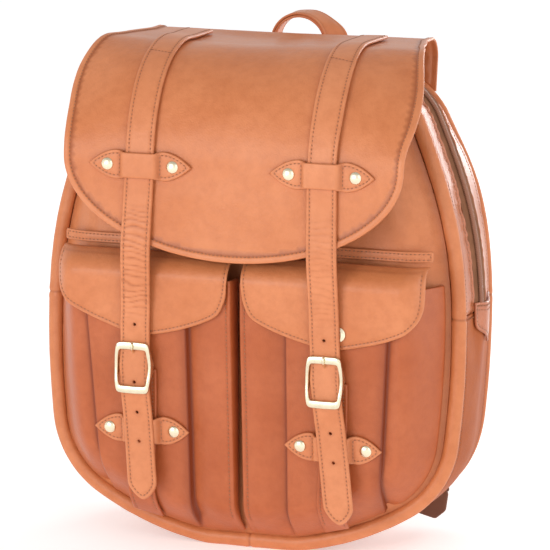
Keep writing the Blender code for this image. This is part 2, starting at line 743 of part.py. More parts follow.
def buckle(side_name, side):
    """A centre-bar buckle: a bowed frame, a bar across its middle, and a prong on the bar."""
    cx, corner = strap_x(side, BUCKLE_Z), 6.0
    half_w, half_t = BUCKLE_WIDE / 2 - BUCKLE_SIDE, BUCKLE_TALL / 2 - BUCKLE_END
    path = []
    for qx, qz, start in ((1, 1, 0), (-1, 1, 90), (-1, -1, 180), (1, -1, 270)):
        for a in np.linspace(start, start + 90, 4):
            path.append((qx * (half_w - corner) + corner * cos(radians(a)),
                         qz * (half_t - corner) + corner * sin(radians(a))))
        if qx * qz < 0:
            path += [(qx * half_w, -qz * d) for d in (-7, 0, 7)]
    rings = []
    for px, pz in path:
        wide = BUCKLE_END + (BUCKLE_SIDE - BUCKLE_END) * ease((half_t - 1 - abs(pz)) / 5)
        out = unit((px / half_w, pz / half_t)) if abs(pz) > half_t - corner else (np.sign(px), 0)
        depth = bar_y() - BUCKLE_BOW * ease(abs(pz) / 12)
        rings.append([
            (cx + px + out[0] * wide * cos(a), depth + BUCKLE_HALF_DEEP * sin(a),
             BUCKLE_Z + pz + out[1] * wide * cos(a))
            for a in (2 * pi * k / 8 for k in range(8))
        ])
    frame = sweep(f"buckle_frame_{side_name}", rings, brass(), closed=True)
    ends = [(cx + d * half_w, bar_y(), BUCKLE_Z) for d in (-1, 1)]
    union(frame, [rod("bar", *ends, 1.2)])
    prong = collar(f"buckle_prong_{side_name}", cx, bar_y(), BUCKLE_Z, 1.6, 2.4, 4.0)
    points = prong_points(cx)
    shank = [rod(f"shank_{k}", a, b + 0.2 * unit(b - a), PRONG_RADIUS)
             for k, (a, b) in enumerate(zip(points, points[1:]))]
    union(prong, shank)


def prong_points(cx):
    """The prong's root, its knee behind the strap, the point where it has come through, and its tip."""
    y = bar_y()
    front = y - BUCKLE_BOW - BUCKLE_HALF_DEEP - PRONG_RADIUS - 0.35
    along = ((y - 1.2, 1.9), (y - 1.2, 7.0), (front, 13.5), (front, 20.0))
    return [np.array((cx, depth, BUCKLE_Z + up)) for depth, up in along]


def rod(name, start, end, radius, turns=10):
    start, end = np.asarray(start, float), np.asarray(end, float)
    along = unit(end - start)
    one = unit(np.cross(along, (0, 1, 0.3)))
    two = np.cross(along, one)
    rings = [[p + radius * (one * cos(2 * pi * k / turns) + two * sin(2 * pi * k / turns))
              for k in range(turns)] for p in (start, end)]
    return sweep(name, rings, brass())


def collar(name, x, y, z, inner, outer, width, turns=14):
    """A short tube around an axis along X."""
    rings = []
    for k in range(turns):
        a = 2 * pi * k / turns
        rings.append([(x + w, y + r * cos(a), z + r * sin(a))
                      for r, w in ((inner, -width / 2), (inner, width / 2),
                                   (outer, width / 2), (outer, -width / 2))])
    return sweep(name, rings, brass(), closed=True)


# ---------------------------------------------------------------- handle and back

def handle():
    """A strap loop that stands flat against the back at its ends and turns on edge over its top."""
    levels = np.linspace(HANDLE_BASE_Z, HANDLE_SPRING_Z, 9)
    stations = [((-1, 0, 0), z, 72 * ease((z - HANDLE_BASE_Z) / 44)) for z in levels[:-1]]
    for a in np.linspace(180, 0, 15):
        turned = 72 if a > 90 else 72 - 34 * ease((90 - a) / 90)
        stations.append(((cos(radians(a)), 0, sin(radians(a))), HANDLE_SPRING_Z, turned))
    stations += [((1, 0, 0), z, 38 * ease((z - HANDLE_BASE_Z) / 42)) for z in levels[-2::-1]]
    path, across = [], []
    for radial, z, turned in stations:
        radial, angle = np.array(radial), radians(turned)
        aside = radial * cos(angle) + np.array((0, 1, 0)) * sin(angle)
        edge = np.array((0, HANDLE_Y, z)) + HANDLE_HALF * radial
        edge[1] += HANDLE_LEAN * (edge[2] - HANDLE_BASE_Z) / 62
        path.append(edge + aside * HANDLE_WIDE / 2)
        across.append(aside)
    ribbon("handle", path, HANDLE_WIDE, 4.0, leather(), across)


def shoulder_strap(side_name, side):
    """A padded strap from under the yoke to its lower strap and the tab at the bottom corner."""
    knots = ((66, 84.5, 343), (68, 93, 325), (72, 102.5, 290), (79, 105, 230), (94, 102, 165),
             (110, 95.5, 123))
    path = smooth_path([(side * x, y, z) for x, y, z in knots], 16)
    widths = np.interp(np.linspace(0, 1, 16), (0, 0.2, 0.7, 1), (44, 56, 52, 34))
    ribbon(f"shoulder_strap_{side_name}", path, widths, 9.0, leather())
    ends = [np.array(p) * (side, 1, 1) for p in LOWER_STRAP]
    ribbon(f"lower_strap_{side_name}", np.linspace(*ends, 5), 22.0, 2.2, webbing())
    corners = ((108, 44), (136, 50), (143, 40), (137, 16), (128, 8), (112, 12))
    outline = [(side * x, z) for x, z in corners]
    plate(f"strap_anchor_{side_name}", outline, BACK_Y + 3.5, BACK_Y + 3.5 + LEATHER, dark_leather())


def adjuster_frame(side):
    """Centre and direction of a strap adjuster on the lower strap."""
    start, end = (np.array(p) * (side, 1, 1) for p in LOWER_STRAP)
    return start + (end - start) * ADJUSTER_SHARE, unit(end - start)


def adjuster(side_name, side):
    """A metal slider around the lower strap: a rectangular loop."""
    centre, along = adjuster_frame(side)
    across = unit(np.array((1.0, 0, 0)) - along * along[0])
    out = np.cross(along, across)
    rings = []
    half_w, half_o = 13.4, 3.2
    for u, v in ((-1, -1), (1, -1), (1, 1), (-1, 1)):
        corner = centre + across * half_w * u + out * half_o * v
        diagonal = across * u * 1.3 + out * v * 1.3
        rings.append([corner + diagonal * 0.9 + along * 3.5, corner + diagonal * 0.9 - along * 3.5,
                      corner - diagonal * 0.5 - along * 3.5, corner - diagonal * 0.5 + along * 3.5])
    sweep(f"strap_adjuster_{side_name}", rings, brass(), closed=True)


def strap_yoke():
    """The leather patch that covers the upper ends of the shoulder straps."""
    outline = [(-96, 372), (-96, 356), (-80, 347), (80, 347), (96, 356), (96, 372)]
    plate("strap_yoke", outline, BACK_Y + 0.4, BACK_Y + 0.4 + LEATHER * 0.8, leather())


# ---------------------------------------------------------------- inside

def inside():
    cloth_thick = 0.8
    skin = LEATHER + GAP
    front = FRONT_Y + PIPING_DEEP / 2 + GAP
    back = BACK_Y - LEATHER - GAP
    dome_plate("padded_back_lining", 10, back - 6, back, foam())
    dome_plate("lining_front", 16, front - 3.2, front - 3.2 + cloth_thick, cloth())
    band("lining_lower", front + 1, back - 8, 0, ZIP_FROM_Z - 2, cloth(), skin, cloth_thick)
    board_half = 46.0
    outline = [(-board_half, front + 6), (board_half, front + 6),
               (board_half, back - 12), (-board_half, back - 12)]
    plate("bottom_board", outline, skin + 3.6, skin + 5.8, board(), axis=2)
    sleeve_y = back - 34
    outline = [(-120, 60), (120, 60), (120, 270), (-120, 270)]
    plate("laptop_sleeve", outline, sleeve_y, sleeve_y + 1.6, cloth())


def build():
    for old in list(bpy.data.objects):
        bpy.data.objects.remove(old)
    body()
    zip_end_tabs()
    zip_slider()
    for side_name, side in SIDES:
        pocket(side_name, side)
        pocket_flap(side_name, side)
        pocket_trim(side_name, side)
        flap_strap(side_name, side)
        closure_strap(side_name, side)
        chape_strap(side_name, side)
        buckle(side_name, side)
        keepers(side_name, side)
        shoulder_strap(side_name, side)
        adjuster(side_name, side)
    snaps()
    main_flap()
    flap_rear_strip()
    handle()
    strap_yoke()
    inside()


build()
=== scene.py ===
"""The looks of a tan leather backpack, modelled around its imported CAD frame.

Every leather piece is cut as a flat pattern and laid on its surface by a mapping, with rounded
edges, a seam groove, sewn thread and a finish of its own. Lengths here are in millimetres, in the
frame's axes: +Z is up and the front faces -Y. make() turns them into metres.
"""

from math import cos, pi, radians, sin, sqrt, tau

import bmesh
import bpy
import numpy as np
from mathutils import Matrix, Vector, geometry, noise


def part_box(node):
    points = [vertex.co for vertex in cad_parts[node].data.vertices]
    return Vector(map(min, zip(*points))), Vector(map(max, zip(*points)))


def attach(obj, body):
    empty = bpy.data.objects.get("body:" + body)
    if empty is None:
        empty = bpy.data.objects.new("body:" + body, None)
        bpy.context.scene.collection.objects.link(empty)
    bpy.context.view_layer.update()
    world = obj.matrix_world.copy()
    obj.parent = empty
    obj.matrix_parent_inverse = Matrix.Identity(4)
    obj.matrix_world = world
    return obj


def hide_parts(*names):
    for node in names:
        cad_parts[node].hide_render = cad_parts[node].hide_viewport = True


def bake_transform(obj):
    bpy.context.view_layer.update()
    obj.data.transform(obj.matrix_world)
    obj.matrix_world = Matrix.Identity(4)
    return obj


MM = 0.001
SIDES = (("left", -1), ("right", 1))

# The bag's body: an extruded dome with a flat foot.
MIDDLE_Z = 250.0           # the height around which its shoulders sink
FRONT_Y = -35.0
BACK_Y = 77.0
FOOT_HALF = 34.0
# Each arc of the outline, from the foot to the top: its radius and the heading that it turns to.
DOME_ARCS = ((60, 10), (252, 32), (84, 84), (900, 90), (510, 110), (58, 180))
LEATHER = 2.4
PIPING_OUT = 1.5
PIPING_WIDE = 12.0
PIPING_DEEP = 9.0
BACK_PIPING = 6.0
CROWN = 26.0
CROWN_RUN = 35.0
ZIP_FROM_Z = 205.0
ZIP_Y = 2.0
ZIP_OPEN_HALF = 8.0        # from the zip's middle to the gusset's bands
ZIP_TAPE_HALF = 9.4
GUSSET_LAP = 5.0           # how far those bands run on under the lower gusset
GUSSET_SEAM = 5.5
TAB_Y = 20.0

# Pockets.
POCKET_TOP = 236.0
POCKET_RIM_INSET = 13.5
POCKET_DEEP = 24.0
POCKET_RUN = 30.0
POCKET_GAP_HALF = 4.5      # from the bag's middle to the face that a pocket's hardware lies on
POCKET_GAP_LOOK = 1.4      # from the bag's middle to the pocket's own leather
POCKET_INNER_RUN = 9.0
POCKET_X = 81.0
FLAP_HALF = 75.0
FLAP_HINGE_Z = 257.0
COVER_TOP_Z = 251.6        # where a pocket flap comes out from under its trim
POCKET_MOUTH_Z = 233.0
TRIM_TALL = 9.0
SNAP_Z = 196.0
SNAP_SHIFT = {"left": 0.0, "right": 6.5}     # how far a cap sits to the right of its strap's middle

# The main flap.
ARC_Y = -13.0
ARC_Z = 330.0
ARC_R = 90.0
TOP_Z = ARC_Z + ARC_R
HINGE_Y = 46.0
TOP_HALF = 117.0
FRONT_HALF = 142.0
EDGE_DROP = 80.0
EDGE_DROOP = 0.42          # how much of the fold's fullness is lost at the flap's side edges
FLAP_SAG = 4.5
FLAP_THICK = 2.2

# Straps, keepers, buckles and studs.
STRAP_WIDE = 24.4
STRAP_THICK = 3.0
STRAP_TOP_X = 76.0
STRAP_LOW_X = 81.0
STRAP_SWAY = 3.4
TAIL_LEAN = {-1: 6.5, 1: 11.5}   # how far a free end hangs to the right, by side
UPPER_KEEPER_Z = 325.0
LOWER_KEEPER_Z = 104.0
KEEPER_SHOULDER = 20.0
KEEPER_DROP = {"left": 1.3, "right": 4.4}    # how much lower each lower keeper is sewn on
KEEPER_HALF_HEIGHT = 12.0
UPPER_KEEPER_HALF = 43.5
LOWER_KEEPER_HALF = 41.0
BUCKLE_Z = 158.0
STUD_OFFSET = 27.5

STITCH = 3.3             # from one stitch to the next
SEAM_INSET = 3.2         # from an edge to its seam


# ---------------------------------------------------------------- numbers and curves

def ease(t):
    """From 0 to 1, starting and ending gently."""
    t = np.clip(t, 0.0, 1.0)
    return t * t * (3 - 2 * t)


def hump(away, width):
    """A smooth hump: 1 where away is 0, and next to nothing beyond twice the width."""
    return np.exp(-(away / width) ** 2)


def unit(v):
    """The same directions with length 1."""
    v = np.asarray(v, float)
    return v / np.maximum(np.linalg.norm(v, axis=-1, keepdims=True), 1e-9)


def along(points):
    """Running length at each point of a path."""
    return np.concatenate([[0], np.cumsum(np.linalg.norm(np.diff(points, axis=0), axis=1))])


def resample(points, step=None, count=None):
    """Evenly spaced points on a path."""
    points = np.asarray(points, float)
    run = along(points)
    count = count or max(2, int(round(run[-1] / step)) + 1)
    wanted = np.linspace(0, run[-1], count)
    return np.stack([np.interp(wanted, run, points[:, k]) for k in range(points.shape[1])], axis=1)


def spread_round(outline, step=None, count=None):
    """Evenly spaced points around a closed outline; count is one more than their number."""
    return resample(np.vstack([outline, outline[:1]]), step, count)[:-1]


def smooth_path(knots, step):
    """A smooth curve through the knots, evenly spaced."""
    knots = np.asarray(knots, float)
    ends = np.vstack([2 * knots[0] - knots[1], knots, 2 * knots[-1] - knots[-2]])
    t = np.linspace(0, 1, 24, endpoint=False)[:, None]
    points = [0.5 * (2 * b + (c - a) * t + (2 * a - 5 * b + 4 * c - d) * t ** 2
                     + (3 * b - a - 3 * c + d) * t ** 3)
              for a, b, c, d in zip(ends, ends[1:], ends[2:], ends[3:])]
    return resample(np.vstack(points + [knots[-1:]]), step)


def wander(points, size, seed=0.0):
    """Smooth noise from -1 to 1 at each point; size is how far apart its waves are."""
    return np.array([noise.noise(Vector(p) / size + Vector((seed, seed * 0.7, 3.1)))
                     for p in np.atleast_2d(points)])


# ---------------------------------------------------------------- meshes

def in_scene(thing):
    bpy.context.scene.collection.objects.link(thing)
    return thing


def make(name, points, faces, finish, painted_light=None):
    """An object from points in millimetres. Its last argument paints light and shade into its colour: below
    0 painted shade, above 0 painted highlight.
    """
    mesh = bpy.data.meshes.new(name)
    mesh.from_pydata((np.asarray(points) * MM).tolist(), [], [tuple(map(int, f)) for f in faces])
    mesh.update()
    mesh.shade_smooth()
    mesh.materials.append(finish)
    values = np.zeros(len(points)) if painted_light is None else painted_light
    mesh.attributes.new("painted_light", "FLOAT", "POINT").data.foreach_set("value", values.astype(np.float32))
    piece = bpy.data.objects.new(name, mesh)
    return in_scene(piece)


def place(piece, body, *nodes, slot=None):
    """Lets a piece ride on a body and stand for CAD nodes."""
    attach(piece, body)
    if nodes:
        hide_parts(*nodes)
    return piece


def grid_faces(rows, columns, wrap=False):
    """The quads of a grid of points; wrap joins its last column to its first."""
    r, c = np.meshgrid(np.arange(rows - 1), np.arange(columns if wrap else columns - 1), indexing="ij")
    r, c = r.ravel(), c.ravel()
    n = (c + 1) % columns
    return np.stack([r * columns + c, r * columns + n, (r + 1) * columns + n, (r + 1) * columns + c], 1)


def tube(name, rings, finish, closed=False, painted_light=None):
    """A skin over rings of points, capped at its ends or closed on itself."""
    rings = np.asarray(rings)
    rows, columns = rings.shape[:2]
    if closed:
        faces = grid_faces(rows + 1, columns, True) % (rows * columns)
        return make(name, rings.reshape(-1, 3), faces, finish, painted_light)
    faces = grid_faces(rows, columns, True).tolist()
    faces.append(tuple(range(columns - 1, -1, -1)))
    faces.append(tuple((rows - 1) * columns + k for k in range(columns)))
    return make(name, rings.reshape(-1, 3), faces, finish, painted_light)


def point_distance(points, line, closed=True):
    """Distance from 2-D points to a polyline."""
    a = line if closed else line[:-1]
    b = np.roll(line, -1, axis=0) if closed else line[1:]
    ab = b - a
    best = np.full(len(points), 1e9)
    for start in range(0, len(points), 4000):
        p = points[start:start + 4000, None]
        t = np.clip(((p - a) * ab).sum(-1) / np.maximum((ab ** 2).sum(-1), 1e-12), 0, 1)
        best[start:start + 4000] = np.linalg.norm(a + ab * t[..., None] - p, axis=-1).min(1)
    return best


def inside(points, outline):
    """Which 2-D points lie inside a closed outline."""
    x, y = points[:, 0], points[:, 1]
    hit = np.zeros(len(points), bool)
    for (x0, y0), (x1, y1) in zip(outline, np.roll(outline, -1, axis=0)):
        if y0 != y1:
            hit ^= ((y0 > y) != (y1 > y)) & (x < (x1 - x0) * (y - y0) / (y1 - y0) + x0)
    return hit


def offset(outline, distance, step=2.0):
    """The line at a distance inside a closed outline given counter-clockwise."""
    line = spread_round(outline, step)
    tangent = unit(np.roll(line, -1, axis=0) - np.roll(line, 1, axis=0))
    moved = line + distance * np.stack([-tangent[:, 1], tangent[:, 0]], 1)
    keep = point_distance(moved, line) > distance - 0.12
    return moved[keep & inside(moved, line)]


class Leather:
    """A flat pattern laid on a surface, with thickness, rounded edges, a seam groove and thread."""

    def __init__(self, outline, surface, thick=LEATHER, seam=SEAM_INSET, spacing=3.0, seams=(), folds=(),
                 holes=(), pillow=0.25, facing=(0, -1, 0)):
        outline = np.asarray(outline, float)
        x, y = outline[:, 0], outline[:, 1]
        if (x * np.roll(y, -1) - y * np.roll(x, -1)).sum() < 0:
            outline = outline[::-1]
        self.outline, self.surface, self.thick, self.facing = outline, surface, thick, np.array(facing)
        self.seam_lines = [np.asarray(line, float) for line in seams]
        if seam:
            ring = offset(outline, seam)
            self.seam_lines.append(np.vstack([ring, ring[:1]]))
        self.folds, self.holes, self.pillow, self.seam = folds, holes, pillow, seam
        self.cut(spacing)

    def cut(self, spacing):
        """Triangles over the pattern: rings along its edge, and an even spread inside."""
        edge = spread_round(self.outline, min(spacing, 2.0))
        r = self.thick / 2
        depths = [r * 0.3, r * 0.7, r * 1.2]
        near = r * 1.2
        sets = [edge] + [offset(self.outline, d, min(spacing, 2.0)) for d in depths]
        fine = [offset_line for line in self.seam_lines for offset_line in beside(line, (-0.9, 0, 0.9))]
        for line, widths in self.folds:
            fine += beside(np.asarray(line, float), widths)
        for hx, hy, hr in self.holes:
            angles = np.linspace(0, tau, 12, endpoint=False)
            fine += [np.stack([hx + k * hr * np.cos(angles), hy + k * hr * np.sin(angles)], 1)
                     for k in (1.0, 1.5)]
        low, high = edge.min(0), edge.max(0)
        columns = np.arange(low[0] + spacing / 2, high[0], spacing)
        rows = np.arange(low[1] + spacing / 2, high[1], spacing * 0.87)
        field = np.array([(x + (k % 2) * spacing / 2, y) for k, y in enumerate(rows) for x in columns])
        if len(fine):
            fine = np.vstack(fine)
            fine = fine[inside(fine, edge)]
            fine = fine[point_distance(fine, edge) > near + 0.3]
            sets.append(thin(fine, 0.55))
        if len(field):
            field = field[inside(field, edge)]
            field = field[point_distance(field, edge) > near + spacing * 0.45]
            crowd = np.vstack(sets[1:])
            if len(field) and len(crowd):
                field = field[nearest(field, crowd) > spacing * 0.4]
            sets.append(field)
        flat = np.vstack(sets)
        ring = [(k, (k + 1) % len(edge)) for k in range(len(edge))]
        out = geometry.delaunay_2d_cdt([Vector(p) for p in flat], ring, [], 1, 1e-5)
        self.flat = np.array([tuple(v) for v in out[0]])
        faces = np.array([f for f in out[2] if len(f) == 3])
        for hx, hy, hr in self.holes:
            middle = self.flat[faces].mean(1)
            faces = faces[np.hypot(middle[:, 0] - hx, middle[:, 1] - hy) > hr * 0.98]
        a, b, c = (self.flat[faces[:, k]] for k in range(3))
        turn = (b[:, 0] - a[:, 0]) * (c[:, 1] - a[:, 1]) - (b[:, 1] - a[:, 1]) * (c[:, 0] - a[:, 0])
        faces[turn < 0] = faces[turn < 0][:, ::-1]
        self.faces = faces[np.abs(turn) > 1e-9]
        self.depth = point_distance(self.flat, edge)

    def frame_at(self, flat):
        """Points on the surface and its normals, on the side that it faces."""
        flat = np.asarray(flat, float)
        at = self.surface(flat)
        ds = self.surface(flat + (0.05, 0)) - self.surface(flat - (0.05, 0))
        dt = self.surface(flat + (0, 0.05)) - self.surface(flat - (0, 0.05))
        normal = unit(np.cross(ds, dt))
        flip = np.sign((normal @ self.facing).sum()) or 1.0
        return at, normal * flip, flip

    def rounding(self, depth):
        """How far the face stands above the surface at each distance from its half-round edge: 0 or less."""
        r = self.thick / 2
        return np.sqrt(np.maximum(r * r - np.maximum(r - depth, 0) ** 2, 0)) - r

    def relief(self, flat, depth):
        """How far the outer face stands above the surface: rounded edge, full border, seam grooves."""
        lift = self.rounding(depth)
        # The colour is darkened on the rounded edge, and painted shade runs along each seam groove.
        painted_light = -0.25 * hump(depth, 0.5)
        if self.seam:
            lift = lift + self.pillow * np.sin(pi * np.clip(depth / self.seam, 0, 1)) ** 2
        for line in self.seam_lines:
            away = point_distance(flat, line, closed=False)
            lift = lift - 0.38 * hump(away, 0.75)
            painted_light = painted_light - 0.22 * hump(away, 0.9)
        return lift, painted_light

    def build(self, name, finish, shape=None):
        """The closed mesh. shape adds a lift and painted light and shade of its own from the flat points and
        surface points.
        """
        at, normal, flip = self.frame_at(self.flat)
        lift, painted_light = self.relief(self.flat, self.depth)
        extra = 0.0
        if shape:
            extra, shade = shape(self.flat, at)
            painted_light = painted_light + shade
        top = at + normal * (lift + extra)[:, None]
        under = at + normal * (extra - self.thick - self.rounding(self.depth))[:, None]
        count = len(self.flat)
        bottom = np.arange(count) + count
        on_edge = self.depth < 1e-4
        bottom[on_edge] = np.arange(count)[on_edge]
        faces = self.faces if flip > 0 else self.faces[:, ::-1]
        walls = []
        used = dict.fromkeys((f[k], f[(k + 1) % 3]) for f in self.faces for k in range(3))
        for a, b in used:
            if (b, a) not in used and not (on_edge[a] and on_edge[b]):
                quad = (b, a, bottom[a], bottom[b])
                walls.append(quad if flip > 0 else quad[::-1])
        both = [tuple(f) for f in faces] + [tuple(f) for f in bottom[faces][:, ::-1]] + walls
        # The under face is made a little darker.
        piece = make(name, np.vstack([top, under]), both, finish, np.concatenate([painted_light, painted_light * 0 - 0.15]))
        drop_loose(piece)
        return piece

    def thread(self, name, shape=None, pitch=STITCH, keep=None):
        """Sewn thread along the seams, where keep lets it."""
        sets = []
        for line in self.seam_lines:
            line = resample(line, pitch)
            middle = (line[:-1] + line[1:]) / 2
            kept = keep(middle) if keep else np.ones(len(middle), bool)
            at, normal, _ = self.frame_at(middle)
            ends, _, _ = self.frame_at(line)
            lift = -0.22
            if shape:
                lift = lift + shape(middle, at)[0]
            at = at + normal * np.broadcast_to(lift, (len(at),))[:, None]
            sets.append((at[kept], unit(np.diff(ends, axis=0))[kept], normal[kept]))
        return stitches(name, sets, thread, pitch)


def beside(line, widths):
    """Copies of a line, moved sideways by each width."""
    line = resample(line, 1.6)
    tangent = unit(np.gradient(line, axis=0))
    side = np.stack([-tangent[:, 1], tangent[:, 0]], 1)
    return [line + side * w for w in widths]


def thin(points, gap):
    """Drops points that crowd a neighbour on a coarse grid."""
    _, first = np.unique(np.round(points / gap).astype(int), axis=0, return_index=True)
    return points[np.sort(first)]


def nearest(points, others):
    """Distance from each point to the nearest of the others."""
    best = np.empty(len(points))
    for start in range(0, len(points), 1500):
        part = points[start:start + 1500, None] - others
        best[start:start + 1500] = np.sqrt((part ** 2).sum(-1)).min(1)
    return best


def drop_loose(piece):
    """Removes vertices that no face uses."""
    mesh = piece.data
    used = np.zeros(len(mesh.vertices), bool)
    corners = np.empty(len(mesh.loops), np.int32)
    mesh.loops.foreach_get("vertex_index", corners)
    used[corners] = True
    if used.all():
        return
    work = bmesh.new()
    work.from_mesh(mesh)
    bmesh.ops.delete(work, geom=[v for v in work.verts if not v.link_faces], context="VERTS")
    work.to_mesh(mesh)
    work.free()


def stitches(name, sets, finish, pitch=STITCH, width=0.95):
    """Short threads, each dipping into the leather at both ends."""
    spans = ((-0.5, 0.25, -0.45), (-0.34, 0.85, -0.1), (0, 1, 0.12), (0.34, 0.85, -0.1), (0.5, 0.25, -0.45))
    angles = np.linspace(0, tau, 6, endpoint=False)
    template = np.array([(s * pitch * 0.64, k * width / 2 * cos(a), up + k * width / 2 * sin(a) * 0.8)
                         for s, k, up in spans for a in angles])
    faces = grid_faces(len(spans), 6, True)
    caps = [tuple(range(5, -1, -1)), tuple(24 + k for k in range(6))]
    at = np.vstack([s[0] for s in sets])
    forward = np.vstack([s[1] for s in sets])
    up = unit(np.vstack([s[2] for s in sets]))
    side = unit(np.cross(up, forward))
    forward = unit(np.cross(side, up) + side * 0.14)
    side = unit(np.cross(up, forward))
    points = (at[:, None] + template[:, :1] * forward[:, None] + template[:, 1:2] * side[:, None]
              + template[:, 2:] * up[:, None]).reshape(-1, 3)
    starts = np.arange(len(at))[:, None, None] * len(template)
    quads = (faces[None] + starts).reshape(-1, 4).tolist()
    ends = [tuple(k + s * len(template) for k in cap) for s in range(len(at)) for cap in caps]
    return make(name, points, quads + ends, finish)


# ---------------------------------------------------------------- materials

class Finish:
    """A procedural material around one Principled shader, in the object's own metres."""

    def __init__(self, name, colour, roughness, metallic=0.0):
        self.material = bpy.data.materials.new(name)
        self.material.use_nodes = True
        self.tree = self.material.node_tree
        self.shader = self.tree.nodes["Principled BSDF"]
        self.place = self.node("ShaderNodeTexCoord").outputs["Object"]
        self.set("Base Color", (*colour, 1))
        self.set("Roughness", roughness)
        self.set("Metallic", metallic)

    def set(self, socket, value):
        self.shader.inputs[socket].default_value = value

    def node(self, kind, **settings):
        made = self.tree.nodes.new(kind)
        for key, value in settings.items():
            setattr(made, key, value)
        return made

    def wire(self, start, end):
        self.tree.links.new(start, end)

    def stretched(self, scale):
        """The object's coordinates, scaled differently along each axis."""
        made = self.node("ShaderNodeMapping")
        made.inputs["Scale"].default_value = scale
        self.wire(self.place, made.inputs["Vector"])
        return made.outputs["Vector"]

    def noise(self, scale, detail=3.0, rough=0.5, place=None):
        made = self.node("ShaderNodeTexNoise")
        made.inputs["Scale"].default_value = scale
        made.inputs["Detail"].default_value = detail
        made.inputs["Roughness"].default_value = rough
        self.wire(place or self.place, made.inputs["Vector"])
        return made.outputs["Fac"]

    def cells(self, scale, feature="F1", place=None):
        made = self.node("ShaderNodeTexVoronoi", feature=feature)
        made.inputs["Scale"].default_value = scale
        self.wire(place or self.place, made.inputs["Vector"])
        return made.outputs["Distance"]

    def ramp(self, value, *stops):
        """Colours or greys at positions from 0 to 1."""
        made = self.node("ShaderNodeValToRGB")
        bar = made.color_ramp
        while len(bar.elements) < len(stops):
            bar.elements.new(0.5)
        for element, (at, colour) in zip(bar.elements, stops):
            element.position = at
            element.color = (*colour, 1) if len(colour) == 3 else (colour[0],) * 3 + (1,)
        self.wire(value, made.inputs["Fac"])
        return made.outputs["Color"]

    def math(self, operation, a, b):
        made = self.node("ShaderNodeMath", operation=operation)
        for value, socket in zip((a, b), made.inputs):
            if isinstance(value, (int, float)):
                socket.default_value = value
            else:
                self.wire(value, socket)
        return made.outputs[0]

    def mix(self, kind, factor, a, b):
        made = self.node("ShaderNodeMix", data_type="RGBA", blend_type=kind)
        for value, socket in zip((factor, a, b), (made.inputs[0], made.inputs[6], made.inputs[7])):
            if isinstance(value, (int, float)):
                socket.default_value = value
            elif isinstance(value, tuple):
                socket.default_value = (*value, 1)
            else:
                self.wire(value, socket)
        return made.outputs[2]

    def bump(self, *layers):
        """Bumps on top of each other, each (height, depth in millimetres)."""
        last = None
        for height, depth in layers:
            made = self.node("ShaderNodeBump")
            made.inputs["Strength"].default_value = 1.0
            made.inputs["Distance"].default_value = depth * MM
            self.wire(height, made.inputs["Height"])
            if last:
                self.wire(last, made.inputs["Normal"])
            last = made.outputs["Normal"]
        self.wire(last, self.shader.inputs["Normal"])


def leather(name, colour, roughness=0.42, grain=1.0, depth=1.0, shine=0.10, gleam=0.36):
    """Smooth drum-dyed leather: fine pebbles, pores and clouds of colour. A mesh attribute paints shade and
    highlights into its colour.
    """
    f = Finish(name, colour, roughness)
    clouds = f.noise(14, 4, 0.6)
    mottle = f.noise(120, 3, 0.6)
    dark = tuple(c * k for c, k in zip(colour, (0.74, 0.62, 0.52)))
    pale = tuple(min(1.0, c * k + 0.012) for c, k in zip(colour, (1.14, 1.24, 1.34)))
    base = f.mix("MIX", f.ramp(clouds, (0.32, (0.0,)), (0.70, (1.0,))), colour, pale)
    base = f.mix("MIX", f.ramp(mottle, (0.34, (0.22,)), (0.60, (0.0,))), base, dark)
    painted_light = f.node("ShaderNodeAttribute", attribute_name="painted_light").outputs["Fac"]
    shade = f.math("MULTIPLY", painted_light, -1.0)
    # Painted shade darkens the colour towards this darker tan, and painted highlights pale it towards the
    # paler one.
    painted_shade_colour = tuple(c * k for c, k in zip(colour, (0.42, 0.26, 0.16)))
    painted_highlight_colour = tuple(min(1.0, c * k + 0.05) for c, k in zip(colour, (1.25, 1.5, 1.9)))
    for value, most, end in ((shade, 0.85, painted_shade_colour), (painted_light, 0.8, painted_highlight_colour)):
        base = f.mix("MIX", f.math("MINIMUM", f.math("MAXIMUM", value, 0.0), most), base, end)
    f.wire(base, f.shader.inputs["Base Color"])
    pebbles = f.cells(900 * grain, "SMOOTH_F1")
    pores = f.noise(2600 * grain, 2, 0.5)
    creases = f.noise(260, 4, 0.55)
    f.bump((creases, 0.22 * depth), (pebbles, 0.10 * depth), (pores, 0.04 * depth))
    rough = f.math("ADD", f.math("MULTIPLY", mottle, 0.16), roughness - 0.08)
    f.wire(rough, f.shader.inputs["Roughness"])
    f.set("Specular IOR Level", gleam)
    f.set("Coat Weight", shine)
    f.set("Coat Roughness", 0.22)
    return f.material


def metal(name, colour, roughness, brushed=0.35):
    """Plated brass: faintly brushed, with small dents and duller hollows."""
    f = Finish(name, colour, roughness, 1.0)
    brush = f.noise(1500, 3, 0.6, f.stretched((0.12, 1, 1)))
    cloud = f.noise(160, 3, 0.6)
    f.wire(f.mix("MIX", f.ramp(cloud, (0.35, (0.0,)), (0.75, (0.5,))), colour,
                 tuple(c * 0.78 for c in colour)), f.shader.inputs["Base Color"])
    f.wire(f.math("ADD", f.math("MULTIPLY", brush, 0.16), roughness - 0.08), f.shader.inputs["Roughness"])
    f.bump((cloud, 0.05), (brush, 0.012 * brushed))
    return f.material


